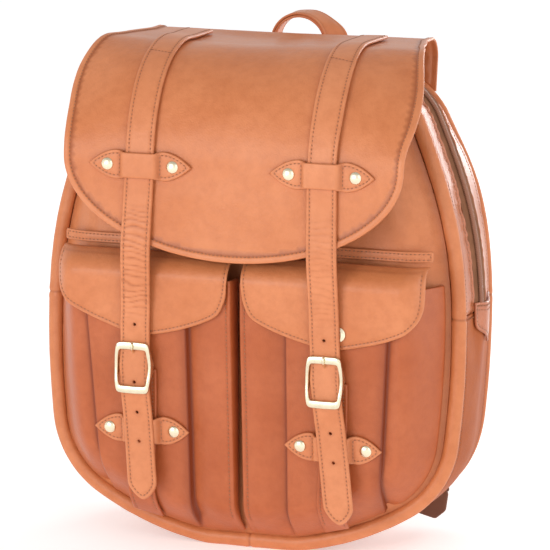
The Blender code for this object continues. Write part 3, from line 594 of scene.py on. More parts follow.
def cloth(name, colour, pitch=1.0, roughness=0.85):
    """Plain weave: warp and weft ribs at right angles."""
    f = Finish(name, colour, roughness)
    ribs = []
    for axis in range(3):
        wave = f.node("ShaderNodeTexWave", bands_direction="XYZ"[axis])
        wave.inputs["Scale"].default_value = 320 / pitch
        wave.inputs["Distortion"].default_value = 0.4
        f.wire(f.place, wave.inputs["Vector"])
        ribs.append(wave.outputs["Fac"])
    weave = f.math("MULTIPLY", f.math("MAXIMUM", ribs[0], ribs[1]), ribs[2])
    cloud = f.noise(60, 3)
    dark = tuple(c * 0.6 for c in colour)
    pale = tuple(min(1, c * 1.3) for c in colour)
    base = f.mix("MIX", weave, dark, colour)
    base = f.mix("MIX", f.ramp(cloud, (0.4, (0.0,)), (0.8, (0.6,))), base, pale)
    f.wire(base, f.shader.inputs["Base Color"])
    f.bump((weave, 0.18), (f.noise(1800, 2), 0.05))
    f.set("Specular IOR Level", 0.15)
    return f.material


def thread_finish(name, colour):
    """Matt twisted thread."""
    f = Finish(name, colour, 0.6)
    twist = f.noise(1800, 2)
    f.wire(f.mix("MIX", twist, colour, tuple(c * 1.5 for c in colour)), f.shader.inputs["Base Color"])
    f.bump((twist, 0.06))
    return f.material


def plastic(name, colour, roughness=0.5):
    """Plain moulded plastic or coated board."""
    f = Finish(name, colour, roughness)
    cloud = f.noise(400, 3)
    f.wire(f.mix("MIX", cloud, colour, tuple(c * 1.25 for c in colour)), f.shader.inputs["Base Color"])
    f.bump((cloud, 0.04))
    return f.material


# The pocket, lower side and strap finishes are copies of the tan leather: the first two darker with painted
# shade, the strap one paler with painted light. Their roughness, grain and gloss differ for real.
tan = leather("tan_leather", (0.58, 0.178, 0.060), 0.42, 1.0, 1.4)
tan_painted_shade = leather("tan_leather_painted_shade", (0.44, 0.098, 0.025))
tan_matt_painted_shade = leather("tan_side_leather_painted_shade", (0.38, 0.090, 0.022), 0.55, 1.0, 1.0, 0.0, 0.12)
tan_strap_painted_light = leather("tan_strap_leather_painted_light", (0.61, 0.198, 0.074), 0.46, 1.1, 0.9)
tan_gloss = leather("tan_gusset_leather", (0.46, 0.125, 0.042), 0.34, 0.9, 1.3, 0.35)
dark_strap = leather("dark_brown_leather", (0.17, 0.058, 0.024), 0.42)
thread = thread_finish("brown_thread", (0.28, 0.105, 0.046))
brass = metal("pale_brass", (0.82, 0.73, 0.53), 0.24)
stud_brass = metal("stud_brass", (0.92, 0.82, 0.60), 0.24)
zip_brown = plastic("zip_coil_brown", (0.26, 0.095, 0.045), 0.42)
zip_tape_cloth = cloth("zip_tape_cloth", (0.30, 0.125, 0.062), 0.8)
lining_cloth = cloth("lining_cloth", (0.20, 0.13, 0.09), 1.2)
foam_cloth = cloth("padded_lining_cloth", (0.24, 0.16, 0.11), 1.6)
base_board = plastic("base_board", (0.04, 0.04, 0.04), 0.6)


# ---------------------------------------------------------------- the dome and the faces on it

def half_outline(inset=0.0, lift=0.0, step=1.5):
    """The dome's right half from the foot's centre to the top's centre, as (x, z)."""
    x, z, heading = FOOT_HALF, inset + lift, 0.0
    points = [(0.0, z), (x, z)]
    for radius, turn_to in DOME_ARCS:
        r = radius - inset
        steps = max(2, int(radians(turn_to - heading) * r / step))
        start_x, start_z, h0 = x, z, radians(heading)
        for h in np.linspace(h0, radians(turn_to), steps + 1)[1:]:
            points.append((start_x + r * (sin(h) - sin(h0)), start_z + r * (cos(h0) - cos(h))))
        x, z = points[-1]
        heading = turn_to
    points.append((0.0, z))
    return np.array(points)


def full_outline(inset=0.0, lift=0.0, step=3.0):
    """The closed dome, counter-clockwise from the foot's centre."""
    right = half_outline(inset, lift)
    left = right[::-1] * (-1, 1)
    return resample(np.vstack([right, left[1:]]), step)[:-1]


RIM = full_outline(step=2.0)
GRID_STEP = 2.0
GRID_X = np.arange(-200, 201, GRID_STEP)
GRID_Z = np.arange(-12, 437, GRID_STEP)
RIM_DISTANCE = point_distance(np.stack(np.meshgrid(GRID_X, GRID_Z, indexing="ij"), -1).reshape(-1, 2),
                              RIM).reshape(len(GRID_X), len(GRID_Z))


def edge_distance(x, z):
    """Distance from points of the front to the dome's edge."""
    i = np.clip((x - GRID_X[0]) / GRID_STEP, 0, len(GRID_X) - 1.001)
    k = np.clip((z - GRID_Z[0]) / GRID_STEP, 0, len(GRID_Z) - 1.001)
    i0, k0 = i.astype(int), k.astype(int)
    u, v = i - i0, k - k0
    return ((RIM_DISTANCE[i0, k0] * (1 - u) + RIM_DISTANCE[i0 + 1, k0] * u) * (1 - v)
            + (RIM_DISTANCE[i0, k0 + 1] * (1 - u) + RIM_DISTANCE[i0 + 1, k0 + 1] * u) * v)


def bump_in(t):
    """From 0 to 1 with a rounded shoulder."""
    return np.sin(np.clip(t, 0, 1) * pi / 2)


def panel_y(x, z, edge=None):
    """The stuffed front panel's outer face."""
    edge = edge_distance(x, z) if edge is None else edge
    fullness = 0.7 + 0.3 * np.minimum(z / 200, 1)
    return FRONT_Y - 1 - CROWN * fullness * bump_in((edge - PIPING_WIDE) / CROWN_RUN)


def stuffed_pocket_y(x, z, inner):
    """A pocket's outer face; inner is how full it is towards its inner side, from 0 to 1."""
    edge = edge_distance(x, z)
    outer = bump_in((edge - POCKET_RIM_INSET) / POCKET_RUN)
    return panel_y(x, z, edge) - LEATHER - 1.2 - POCKET_DEEP * (0.3 + 0.7 * z / 240) * outer * inner


def pocket_y(x, z):
    """The face that straps, flaps and buckles lie on, without pleats and with a sloping inner side."""
    return stuffed_pocket_y(x, z, bump_in((np.abs(x) - POCKET_GAP_HALF) / POCKET_INNER_RUN))


def ledge_y(x):
    """The face that a pocket's trim lies on: level, then curving back towards the bag's side."""
    past = np.maximum(0.0, np.abs(x) - 133.0) / (POCKET_X + FLAP_HALF - 133.0)
    return FRONT_Y - 1 - CROWN - LEATHER - 0.8 + 8.0 * past ** 1.5


def pocket_flap_y(x, z):
    """A pocket flap's outer face: from its trim forwards over the pocket's mouth and down on it."""
    hung = np.minimum(z, POCKET_TOP - 4)
    over = np.min([pocket_y(np.abs(x) + d, hung) for d in (-7, 0, 7)], axis=0) - LEATHER - 1.6
    ledge = ledge_y(x)
    t = np.sqrt(np.clip(1 - (1 - np.clip((COVER_TOP_Z - z) / 20, 0, 1)) ** 2, 0, 1))
    return np.minimum(ledge + (over - ledge) * t, ledge)


def flap_half_width(t):
    """Half the flap's width along its fold: it widens a little past the front's width, and back to it."""
    spread, extra = FRONT_HALF - TOP_HALF, 1.5
    return TOP_HALF + (spread + extra) * ease((t + 0.45) / 1.95) - extra * ease((t - 1.3) / 0.7)


def strap_x(side, z):
    """A closure strap's middle at a height: it drifts outwards to its buckle, and its end leans."""
    drift = np.clip((UPPER_KEEPER_Z - z) / (UPPER_KEEPER_Z - BUCKLE_Z), 0, 1)
    lean = np.maximum(0.0, (BUCKLE_Z - z) / (BUCKLE_Z - 50)) * TAIL_LEAN[side]
    return side * (STRAP_TOP_X + (STRAP_LOW_X - STRAP_TOP_X) * drift) - STRAP_SWAY * drift + lean


FLAP_TOP_RUN = HINGE_Y - ARC_Y
FLAP_ARC_RUN = ARC_R * pi / 2
FLAP_FRONT_RUN = FLAP_TOP_RUN + FLAP_ARC_RUN
ROLL_R = 18.0
ROLL_Y = BACK_Y + 6.9 - ROLL_R
ROLL_RUN = ROLL_Y - HINGE_Y
REAR_STRIP_Z = 374.0
REAR_IN, REAR_DOWN = 0.118, 0.993          # the way that the flap runs down the back


def flap_t(run):
    """0 at the flap's hinge, 1 where its arc starts, 2 where it ends; run is the length from the hinge."""
    return np.where(run < FLAP_TOP_RUN, np.maximum(run, 0) / FLAP_TOP_RUN,
                    1 + np.clip((run - FLAP_TOP_RUN) / FLAP_ARC_RUN, 0, 1))


def flap_surface(flat):
    """The long flap's outer face from (x, run); a negative run is behind the hinge, over the back's edge.

    Its top sags, its side edges droop in the fold, and they wander in and out.
    """
    x, run = flat[:, 0], flat[:, 1]
    t = flap_t(run)
    u = np.clip(np.abs(x) / flap_half_width(t), 0, 1.05)
    a = np.clip(t - 1, 0, 1) * pi / 2
    y = np.where(run < FLAP_TOP_RUN, HINGE_Y - run, ARC_Y - ARC_R * np.sin(a))
    z = ARC_Z + ARC_R * np.cos(a)
    chord = np.clip(t - 1, 0, 1)
    share = EDGE_DROOP * u ** 4 * np.sin(pi * chord)
    on_arc = (t > 1) & (t < 2)
    y = np.where(on_arc, y + (ARC_Y - ARC_R * chord - y) * share, y)
    z = np.where(on_arc, z + (TOP_Z - ARC_R * chord - z) * share, z)
    z = z - np.maximum(0, run - FLAP_FRONT_RUN)
    back = -run - ROLL_RUN
    turn = np.clip(back / ROLL_R, 0, pi / 2)
    down = np.maximum(0, back - ROLL_R * pi / 2)
    rolled = back > 0
    y = np.where(rolled, ROLL_Y + ROLL_R * np.sin(turn) - down * REAR_IN, y)
    z = np.where(rolled, TOP_Z - ROLL_R + ROLL_R * np.cos(turn) - down * REAR_DOWN, z)
    drift_left = 4.0 * hump(t - 0.85, 0.3) - 3.5 * hump(t - 1.45, 0.3)
    drift_right = 6.0 * hump(t - 1.6, 0.35) - 5.5 * hump(t - 0.9, 0.45)
    drift_right = drift_right * (1 - ease((t - 1.7) / 0.3))
    z = z - FLAP_SAG * hump(x + 15, 62) * ease((run + 30) / 30) * (1 - ease((t - 0.8) / 0.8))
    return np.stack([x + np.where(x < 0, drift_left, drift_right) * u ** 3, y, z], 1)


def raised(surface, height, sign=1.0):
    """The surface that runs at a height (a number, or a function of the flat points) over another."""
    def over(flat):
        flat = np.asarray(flat, float)
        ds = surface(flat + (0.4, 0)) - surface(flat - (0.4, 0))
        dt = surface(flat + (0, 0.4)) - surface(flat - (0, 0.4))
        rise = height(flat) if callable(height) else np.full(len(flat), height)
        return surface(flat) + sign * unit(np.cross(ds, dt)) * rise[:, None]
    return over


def front_surface(y_at):
    """A surface given by its depth at (x, z)."""
    return lambda flat: np.stack([flat[:, 0], y_at(flat[:, 0], flat[:, 1]), flat[:, 1]], 1)


def lathe(name, profile, centre, finish, out=(0, -1, 0), turns=40):
    """A round piece from (radius, height) pairs, standing on a face that looks along out."""
    out = unit(out)
    one = unit(np.cross(out, (0.0, 0.3, 1.0)))
    two = np.cross(out, one)
    angles = np.linspace(0, tau, turns, endpoint=False)
    rings = [[np.array(centre) + out * h + r * (one * cos(a) + two * sin(a)) for a in angles]
             for r, h in profile]
    return tube(name, rings, finish)


def bar(name, path, radii, finish, turns=12, flat=1.0, up=(0, 0, 1)):
    """A round or flattened bar along a path."""
    path = np.asarray(path, float)
    radii = np.broadcast_to(radii, (len(path),))
    tangent = unit(np.gradient(path, axis=0))
    side = unit(np.cross(tangent, up))
    top = np.cross(side, tangent)
    angles = np.linspace(0, tau, turns, endpoint=False)
    rings = [[p + r * (s * cos(a) + flat * t * sin(a)) for a in angles]
             for p, r, s, t in zip(path, radii, side, top)]
    return tube(name, rings, finish)


def joined(name, pieces):
    """Several meshes as one object; each keeps its own finish."""
    work = bmesh.new()
    finishes = []
    for piece in pieces:
        start = len(work.faces)
        work.from_mesh(piece.data)
        work.faces.ensure_lookup_table()
        finish = piece.data.materials[0]
        if finish not in finishes:
            finishes.append(finish)
        index = finishes.index(finish)
        for face in work.faces[start:]:
            face.material_index = index
    mesh = bpy.data.meshes.new(name)
    for finish in finishes:
        mesh.materials.append(finish)
    work.to_mesh(mesh)
    work.free()
    for piece in pieces:
        bpy.data.objects.remove(piece)
    return in_scene(bpy.data.objects.new(name, mesh))


def soft_shape(height, size, seed, fine=0.0):
    """Slow waves of a hide that isn't quite flat, and finer ones on top."""
    def shape(flat, at):
        lift = height * wander(at, size, seed)
        if fine:
            lift = lift + fine * wander(at, 9.0, seed + 5)
        return lift, np.zeros(len(flat))
    return shape


def rib_path(points):
    """A path with its mirror image: from the right over the middle to the left."""
    return np.vstack([points, points[::-1][1:] * (-1, 1)])


def band_surface(path):
    """A surface from (length along the path, depth)."""
    run = along(path)

    def surface(flat):
        s = np.clip(flat[:, 0], 0, run[-1])
        return np.stack([np.interp(s, run, path[:, 0]), flat[:, 1], np.interp(s, run, path[:, 1])], 1)
    return surface, run[-1]


def rectangle(x0, x1, y0, y1, corner=0.0, step=3.0):
    """A counter-clockwise rectangle, with rounded corners if asked."""
    if not corner:
        points = [(x0, y0), (x1, y0), (x1, y1), (x0, y1)]
    else:
        points = []
        for cx, cy, start in ((x1 - corner, y0 + corner, -90), (x1 - corner, y1 - corner, 0),
                              (x0 + corner, y1 - corner, 90), (x0 + corner, y0 + corner, 180)):
            for a in np.radians(np.linspace(start, start + 90, 6)):
                points.append((cx + corner * cos(a), cy + corner * sin(a)))
    points = np.array(points + points[:1])
    pieces = [resample(pair, max(step, 0.5))[:-1] for pair in zip(points[:-1], points[1:])]
    return np.vstack(pieces)


def flat_face(y):
    """An upright plane at a depth."""
    return front_surface(lambda x, z: np.full(len(x), y))


# How the stuffed leather leaves the plain dome, in millimetres.
FRONT_SINK, REAR_SINK = 10.0, 15.5         # its shoulders, downwards and inwards
SIDE_CROWN = 3.6                           # its sides, outwards beside the zip
REAR_DRAW = 5.5                            # its rear half, inwards
ZIP_TILT = 3.0                             # the band in front of the zip inwards, the one behind it outwards


def slumped(piece):
    """Sinks the dome's shoulders, crowns its sides along the zip and draws its rear in."""
    points = np.empty(len(piece.data.vertices) * 3)
    piece.data.vertices.foreach_get("co", points)
    points = points.reshape(-1, 3) / MM
    x, y, z = points.T
    around = np.degrees(np.arctan2(z - MIDDLE_Z, np.abs(x)))
    rear = ease((y + 18) / 80)
    shoulders = FRONT_SINK * (1 - rear) * hump(around - 50, 32) + REAR_SINK * rear * hump(around - 46, 22)
    from_zip = y - ZIP_Y
    tilt = ZIP_TILT * np.tanh(from_zip / 6) * hump(from_zip, 30) * ease((z - 150) / 50)
    crown = SIDE_CROWN * hump(y - 6, 27) - REAR_DRAW * ease((y - 12) / 62)
    reach = np.hypot(x, z - MIDDLE_Z)
    sink = (shoulders - tilt - crown * ease((z - 25) / 70)) * ease((reach - 60) / 70)
    inward = unit(np.stack([-x, np.zeros(len(points)), MIDDLE_Z - z], 1))
    piece.data.vertices.foreach_set("co", ((points + inward * sink[:, None]) * MM).ravel())
    return piece


def sew(pattern, node, finish, body, shape=None, slot="tan_leather", slump=False, pitch=STITCH, keep=None):
    """A leather piece that stands for its CAD node, and the thread along its seams."""
    hide = pattern.build(f"{node}_leather", finish, shape)
    sewn = pattern.thread(f"{node}_thread", shape, pitch, keep)
    if slump:
        slumped(hide)
        slumped(sewn)
    place(hide, body, node, slot=slot)
    place(sewn, body)


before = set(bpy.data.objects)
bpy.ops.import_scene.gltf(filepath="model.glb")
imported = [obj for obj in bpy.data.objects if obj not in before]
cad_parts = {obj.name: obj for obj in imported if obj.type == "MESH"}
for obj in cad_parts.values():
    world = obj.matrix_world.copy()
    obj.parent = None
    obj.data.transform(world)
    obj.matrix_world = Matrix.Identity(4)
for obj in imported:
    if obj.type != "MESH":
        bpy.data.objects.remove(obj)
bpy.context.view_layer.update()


def cad_box(node):
    """The low and high corners of a CAD node, in millimetres."""
    return [np.array(corner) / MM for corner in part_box(node)]


# ---------------------------------------------------------------- the body

def panel_shape(flat, at):
    """Slack near the upper corners, small puckers where the panel is sewn to its rolled edge, and painted
    shade along that seam.
    """
    edge = edge_distance(flat[:, 0], flat[:, 1])
    around = np.arctan2(flat[:, 1] - 205, flat[:, 0])
    pucker = hump(edge - PIPING_WIDE, 9.0) * np.sin(around * 71 + 3 * np.sin(around * 9))
    lift = 0.8 * wander(at, 55, 2) + 0.35 * wander(at, 16, 7) + 0.16 * pucker
    return lift, -0.35 * hump(edge - PIPING_WIDE, 3.0)


def body():
    """The front and back panels, their rolled edges, and everything between them."""
    panel = Leather(full_outline(PIPING_WIDE - 1.5), front_surface(panel_y), seam=0, spacing=4.5)
    place(slumped(panel.build("front_panel_leather", tan, panel_shape)), "bag", "front_panel",
          slot="tan_leather")

    def back_shape(flat, at):
        return -0.5 + 0.45 * wander(at, 60, 4), np.zeros(len(flat))
    back = Leather(full_outline(BACK_PIPING - 1.2), flat_face(BACK_Y), seam=0, spacing=6, facing=(0, 1, 0))
    place(slumped(back.build("back_panel_leather", tan, back_shape)), "bag", "back_panel",
          slot="tan_leather")

    rolled_edge("front_piping", FRONT_Y, PIPING_WIDE, PIPING_DEEP, PIPING_OUT, PIPING_OUT + 0.3, 1)
    rolled_edge("back_piping", BACK_Y, BACK_PIPING, BACK_PIPING, 0.8, 1.1, 2)
    gusset()


def rolled_edge(node, y, wide, deep, out, lift, seed):
    """The rolled leather edge around the dome, with a sewn join on each side and under the foot."""
    outer = full_outline(-out, lift, 1.6)
    count = len(outer)
    inner = full_outline(wide - out, lift, 0.5)
    inner = spread_round(inner, count=count + 1)
    turns = 28
    angles = np.linspace(0, tau, turns, endpoint=False)
    centre = (outer + inner) / 2
    half = (outer - inner) / 2
    swell = wander(np.column_stack([centre, np.zeros(count)]), 14, seed)
    join_places = ((0, 6), (176, ZIP_FROM_Z), (-176, ZIP_FROM_Z))
    joins = [np.hypot(outer[:, 0] - x, outer[:, 1] - z).argmin() for x, z in join_places]
    run = np.arange(count) * 1.6
    pinch = np.zeros(count)
    for j in joins:
        away = np.abs(run - run[j])
        away = np.minimum(away, count * 1.6 - away)
        pinch += hump(away, 1.3) - 0.45 * hump(away - 3.5, 2.2)
    grow = 1 + 0.030 * swell - 0.10 * pinch
    pts = np.empty((count, turns, 3))
    for k, a in enumerate(angles):
        crease = 1.0 - 0.05 * np.maximum(0, cos(a + 0.9)) ** 6
        flat_point = centre + half * (cos(a) * grow * crease)[:, None]
        pts[:, k, 0] = flat_point[:, 0]
        pts[:, k, 1] = y + deep / 2 * sin(a) * grow * crease
        pts[:, k, 2] = flat_point[:, 1]
    pts[..., 2] = np.maximum(pts[..., 2], 0.25)
    # Painted shade in the pinched sewn joins.
    painted_light = np.repeat(-0.45 * np.clip(pinch, 0, 1), turns)
    piece = tube(f"{node}_leather", pts, tan, True, painted_light)
    place(slumped(piece), "bag", node, slot="tan_leather")


def gusset():
    """The bag's sides and top: a lower piece under the zip's ends, and a band on each side of the zip."""
    half = half_outline(step=0.5)
    front, rear = FRONT_Y + PIPING_DEEP / 2 - 1.0, BACK_Y - BACK_PIPING / 2 - 0.4
    below = half[half[:, 1] <= ZIP_FROM_Z + 0.8][::-1]
    surface, length = band_surface(rib_path(below))
    lines = [[(0, y), (length, y)] for y in (front + GUSSET_SEAM, rear - GUSSET_SEAM)]
    lines += [[(s, front + 7), (s, rear - 7)] for s in (3, length - 3)]
    lower = Leather(rectangle(0, length, front, rear), surface, seam=0, spacing=4.0, facing=(0, 0, -1),
                    seams=lines)

    def lower_shape(flat, at):
        sag = 0.7 * wander(at, 60, 11) + 0.25 * wander(at, 15, 12)
        return np.where(at[:, 2] < 12, 0.15, 1) * sag - 0.2, np.zeros(len(flat))
    sew(lower, "lower_gusset", tan_matt_painted_shade, "bag", lower_shape, slump=True)

    above = rib_path(half[half[:, 1] >= ZIP_FROM_Z - GUSSET_LAP])
    surface, length = band_surface(above)
    zip_front, zip_rear = ZIP_Y - ZIP_OPEN_HALF, ZIP_Y + ZIP_OPEN_HALF
    for name, y0, y1, near_zip in (("upper_gusset_front", front, zip_front, zip_front - 3.0),
                                   ("upper_gusset_rear", zip_rear, rear, zip_rear + 3.0)):
        far = front + GUSSET_SEAM if y0 == front else rear - GUSSET_SEAM
        strip = Leather(rectangle(0, length, y0, y1), surface, seam=0, spacing=3.2, facing=(0, 0, 1),
                        seams=[[(0, near_zip), (length, near_zip)], [(0, far), (length, far)]], pillow=0)

        def shape(flat, at):
            edge = hump(flat[:, 1] - near_zip, 5)
            from_zip = np.abs(flat[:, 1] - ZIP_Y) - ZIP_OPEN_HALF
            pucker = 0.28 * edge * np.sin(flat[:, 0] * 0.62 + 2.5 * np.sin(flat[:, 0] * 0.11))
            lift = 0.9 * wander(at, 42, 21) + 0.4 * wander(at, 13, 22) + pucker - 0.3
            lift = lift + 0.9 * hump(from_zip - 0.9, 1.1)
            lift = lift - 2.3 * ease((ZIP_FROM_Z + 2.5 - at[:, 2]) / 3.5)
            return lift, np.zeros(len(flat))
        sew(strip, name, tan_gloss, "bag", shape, slump=True)
    zip_fastener(half_outline(-0.3, step=1.0))


def zip_fastener(half):
    """Woven tape with a brown coil down its middle."""
    path = rib_path(half[half[:, 1] >= ZIP_FROM_Z + 1.4])
    surface, length = band_surface(path)
    tape = Leather(rectangle(0, length, ZIP_Y - ZIP_TAPE_HALF, ZIP_Y + ZIP_TAPE_HALF), surface, thick=0.9,
                   seam=0, spacing=3.0, facing=(0, 0, 1), pillow=0)
    place(slumped(tape.build("zip_tape_cloth", zip_tape_cloth)), "bag", "zip_tape", slot="zip_brown")
    sets = []
    for shift, lean in ((0.0, 1), (0.75, -1)):
        s = np.arange(2.0 + shift, length - 2, 1.5)
        flat = np.stack([s, np.full(len(s), ZIP_Y + 0.35 * lean)], 1)
        at, normal, _ = tape.frame_at(flat)
        sets.append((at + normal * 1.3, np.tile((0.0, 1.0, 0.0), (len(s), 1)), normal))
    coil = stitches("zip_coil", sets, zip_brown, pitch=6.6, width=1.55)
    place(slumped(coil), "bag", slot="zip_brown")


def side_x(z):
    """How far out the dome's side is at a height."""
    half = half_outline(step=1.0)
    side = half[(half[:, 1] > 60) & (half[:, 1] < 300)]
    return np.interp(z, side[:, 1], side[:, 0])


TAB_TOP_Z = 214
TAB_POINT_Z = 178.6
TAB_EDGE = ((28, 197), (24, 192), (13, 187.5), (5, 183))     # its right edge, down towards its point


def zip_end_tabs():
    """The arrow-shaped tabs over the two ends of the zip."""
    for name, side in SIDES:
        lower = [(TAB_Y - y, z) for y, z in TAB_EDGE] + [(TAB_Y, TAB_POINT_Z)]
        lower += [(TAB_Y + y, z) for y, z in TAB_EDGE[::-1]]
        top = [(TAB_Y + y, TAB_TOP_Z) for y in (28, 0)]
        outline = np.vstack([[(TAB_Y - 28, TAB_TOP_Z)], smooth_path(lower, 2.0), top])

        def surface(flat, side=side):
            return np.stack([side * (side_x(flat[:, 1]) + LEATHER + 0.2), flat[:, 0], flat[:, 1]], 1)
        cross = [[(TAB_Y - 27, z), (TAB_Y + 27, z)] for z in (211.0, 207.6)]
        tab = Leather(outline, surface, thick=2.0, seam=2.8, spacing=2.6, seams=cross, facing=(side, 0, 0))
        node = f"zip_end_tab_{name}"
        place(slumped(tab.build(f"{node}_leather", tan_gloss, soft_shape(0.15, 12, 3))), "bag", node,
              slot="tan_leather")
        place(slumped(tab.thread(f"{node}_thread")), "bag")


# ---------------------------------------------------------------- pockets

# A pocket's folds, each from its top to its foot, as (distance from the bag's middle, height).
INNER_PLEAT = ((42.0, 190.0), (41.0, 26.0))
OUTER_PLEAT = ((127.0, 192.0), (118.5, 44.0))
POCKET_FLAP_EDGE = {
    "left": ((5.2, 251.5), (5.2, 232), (8.5, 214), (18, 201), (50, 188.5), (82, 183.5), (112, 192),
             (134, 201.5), (146, 209), (153.5, 220), (156, 234), (155, 251.5)),
    "right": ((5.2, 251.5), (5.2, 232), (8.5, 214), (18, 201), (50, 188.5), (82, 182.2), (112, 187.5),
              (134, 194.5), (147, 202), (154.5, 214), (156, 232), (155, 251.5)),
}


def pleat_x(line, z):
    """A fold's distance from the bag's middle at a height."""
    (top_x, top_z), (low_x, low_z) = line
    return np.interp(z, (low_z, top_z), (low_x, top_x)) + (top_x - low_x) * np.clip((z - top_z) / 160, 0, 1)


def pocket_look_y(x, z):
    """The pocket's own face, with an upright inner side."""
    return stuffed_pocket_y(x, z, 0.10 + 0.90 * bump_in((np.abs(x) - POCKET_GAP_LOOK) / 3.2))


def pocket_shape(flat, at):
    """Box pleats: the middle stands proud of both sides; painted shade darkens every fold, and more painted
    shade lies beside the folds that face right.
    """
    x, z = np.abs(flat[:, 0]), flat[:, 1]
    past_inner = pleat_x(INNER_PLEAT, z) - x
    past_outer = x - pleat_x(OUTER_PLEAT, z)
    fade = ease((z - 10) / 18)
    lift = 0.35 * wander(at, 40, 31) + 0.12 * wander(at, 11, 32) - 0.2
    painted_light = np.zeros(len(flat))
    left = flat[:, 0] < 0
    for past, deep, run, shaded in ((past_inner, 6.0, 13.0, left), (past_outer, 4.0, 9.0, ~left)):
        hollow = ease((past + 0.6) / 1.6) * hump(np.maximum(past, 0), run)
        roll = hump(past + 2.2, 2.0)
        lift = lift + fade * (0.5 * roll - deep * hollow)
        painted_light = painted_light - 0.85 * fade * hump(past - 0.9, 1.8)
        painted_light = painted_light - 0.42 * fade * shaded * hump(np.minimum(past, 0), 6.5) * (past < 1)
    ridge = hump(x - POCKET_GAP_LOOK - 3.6, 1.3) * ease((z - 20) / 30)
    lift = lift + 0.5 * ridge - 0.4 * hump(x - POCKET_GAP_LOOK - 7.6, 1.1)
    return lift, painted_light


def pockets():
    """Both bellows pockets with their flaps and trims."""
    top = POCKET_MOUTH_Z - 2
    for name, side in SIDES:
        rim = half_outline(POCKET_RIM_INSET, step=2.0)
        rim = rim[(rim[:, 1] < POCKET_MOUTH_Z) & (rim[:, 0] > POCKET_GAP_HALF + 12)]
        low = rim[0, 1]
        outline = np.vstack([[(POCKET_GAP_LOOK, low + 3), (POCKET_GAP_LOOK + 4, low)], rim,
                             [(rim[-1, 0], POCKET_MOUTH_Z), (POCKET_GAP_LOOK, POCKET_MOUTH_Z)]]) * (side, 1)
        wide = (-4.5, -3.3, -2.4, -1.6, -0.8, 0, 0.8, 1.6, 2.4, 3.3, 4.5)
        lines = []
        for pleat in (INNER_PLEAT, OUTER_PLEAT):
            (top_x, top_z), (low_x, low_z) = pleat
            fold = [(side * low_x, low_z - 10), (side * top_x, top_z), (side * (top_x + 1), top)]
            lines.append((fold, wide))
        ridge, seam = side * (POCKET_GAP_LOOK + 4), side * (POCKET_GAP_LOOK + 6.4)
        lines.append(([(ridge, 18), (ridge, top)], wide))
        front = Leather(outline, front_surface(pocket_look_y), seam=0, spacing=4.0,
                        seams=[[(seam, 30), (seam, top)]], folds=lines)
        sew(front, f"pocket_{name}", tan_painted_shade, "bag", pocket_shape)
        pocket_cover(name, side)
        pocket_trim(name, side)


def cover_shape(flat, at):
    """A pocket flap: full over its roll, hollow beside the strap, with a few soft creases."""
    x, z = np.abs(flat[:, 0]), flat[:, 1]
    lift = 0.55 * wander(at, 38, 41) + 0.12 * wander(at, 10, 42)
    lift = lift - 0.8 * hump(x - POCKET_X, 22) * ease((250 - z) / 40)
    return lift - 0.1, np.zeros(len(flat))


def pocket_cover(name, side):
    """A pocket's flap and its snap cap."""
    body_name = f"pocket_flap_{name}"
    outline = smooth_path(POCKET_FLAP_EDGE[name], 2.0)
    outline = np.vstack([outline, [(80, COVER_TOP_Z)]]) * (side, 1)
    drops = (0.4, 0.9, 1.6, 2.5, 3.6, 5, 6.7, 8.7, 11, 13.5, 16, 18.5)
    rows = [([(side * 8, z), (side * 153, z)], (0,)) for z in (COVER_TOP_Z - d for d in drops)]
    cover = Leather(outline, front_surface(pocket_flap_y), spacing=3.4, folds=rows)
    sew(cover, body_name, tan, body_name, cover_shape, keep=lambda p: p[:, 1] < COVER_TOP_Z - 5)
    y = float(pocket_flap_y(np.array([POCKET_X]), np.array([SNAP_Z]))[0]) - 0.3
    cap = lathe(f"snap_cap_{name}_metal", ((0.05, -0.2), (6.2, -0.2), (6.2, 0.25), (5.9, 0.5), (5.1, 0.55),
                                          (4.7, 0.8), (3.2, 1.0), (0.05, 1.08)),
                (side * POCKET_X + SNAP_SHIFT[name], y, SNAP_Z), stud_brass)
    place(cap, body_name, f"snap_cap_{name}", slot="pale_brass")


def pocket_trim(name, side):
    """The double-stitched strip along the top of a pocket flap."""
    x0, x1 = sorted((side * 5.0, side * 156.6))
    surface = front_surface(lambda x, z: ledge_y(x))
    low, high = COVER_TOP_Z + 1.6, COVER_TOP_Z + 1.6 + TRIM_TALL
    rows = [[(x0 + 2.4, z), (x1 - 2.4, z)] for z in (low + 2.2, high - 2.2)]
    ends = [[(x, low + 2.2), (x, high - 2.2)] for x in (x0 + 2.4, x1 - 2.4)]
    trim = Leather(rectangle(x0, x1, low, high, 0.8), surface, seam=0, spacing=2.4, seams=rows + ends)
    shape = soft_shape(0.25, 22, 51, 0.1)
    sew(trim, f"pocket_trim_{name}", tan_strap_painted_light, "bag", shape)


# ---------------------------------------------------------------- the main flap

REAR_RUN = -(ROLL_RUN + ROLL_R * pi / 2 + (TOP_Z - ROLL_R - REAR_STRIP_Z) / REAR_DOWN)
BORDER = 5.2             # width of the flap's rolled border


def flap_outline(inset=0.0, rear=REAR_RUN):
    """The flap's flat pattern, from its strip on the back to its rounded front edge."""
    runs = np.arange(rear, FLAP_FRONT_RUN, 3.0)
    right = np.stack([flap_half_width(flap_t(runs)) - inset, runs], 1)
    angles = np.radians(np.linspace(0, 180, 110))
    tip = np.stack([(FRONT_HALF - inset) * np.cos(angles),
                    FLAP_FRONT_RUN + (EDGE_DROP - inset) * np.sin(angles)], 1)
    return np.vstack([right, tip, right[::-1] * (-1, 1)])


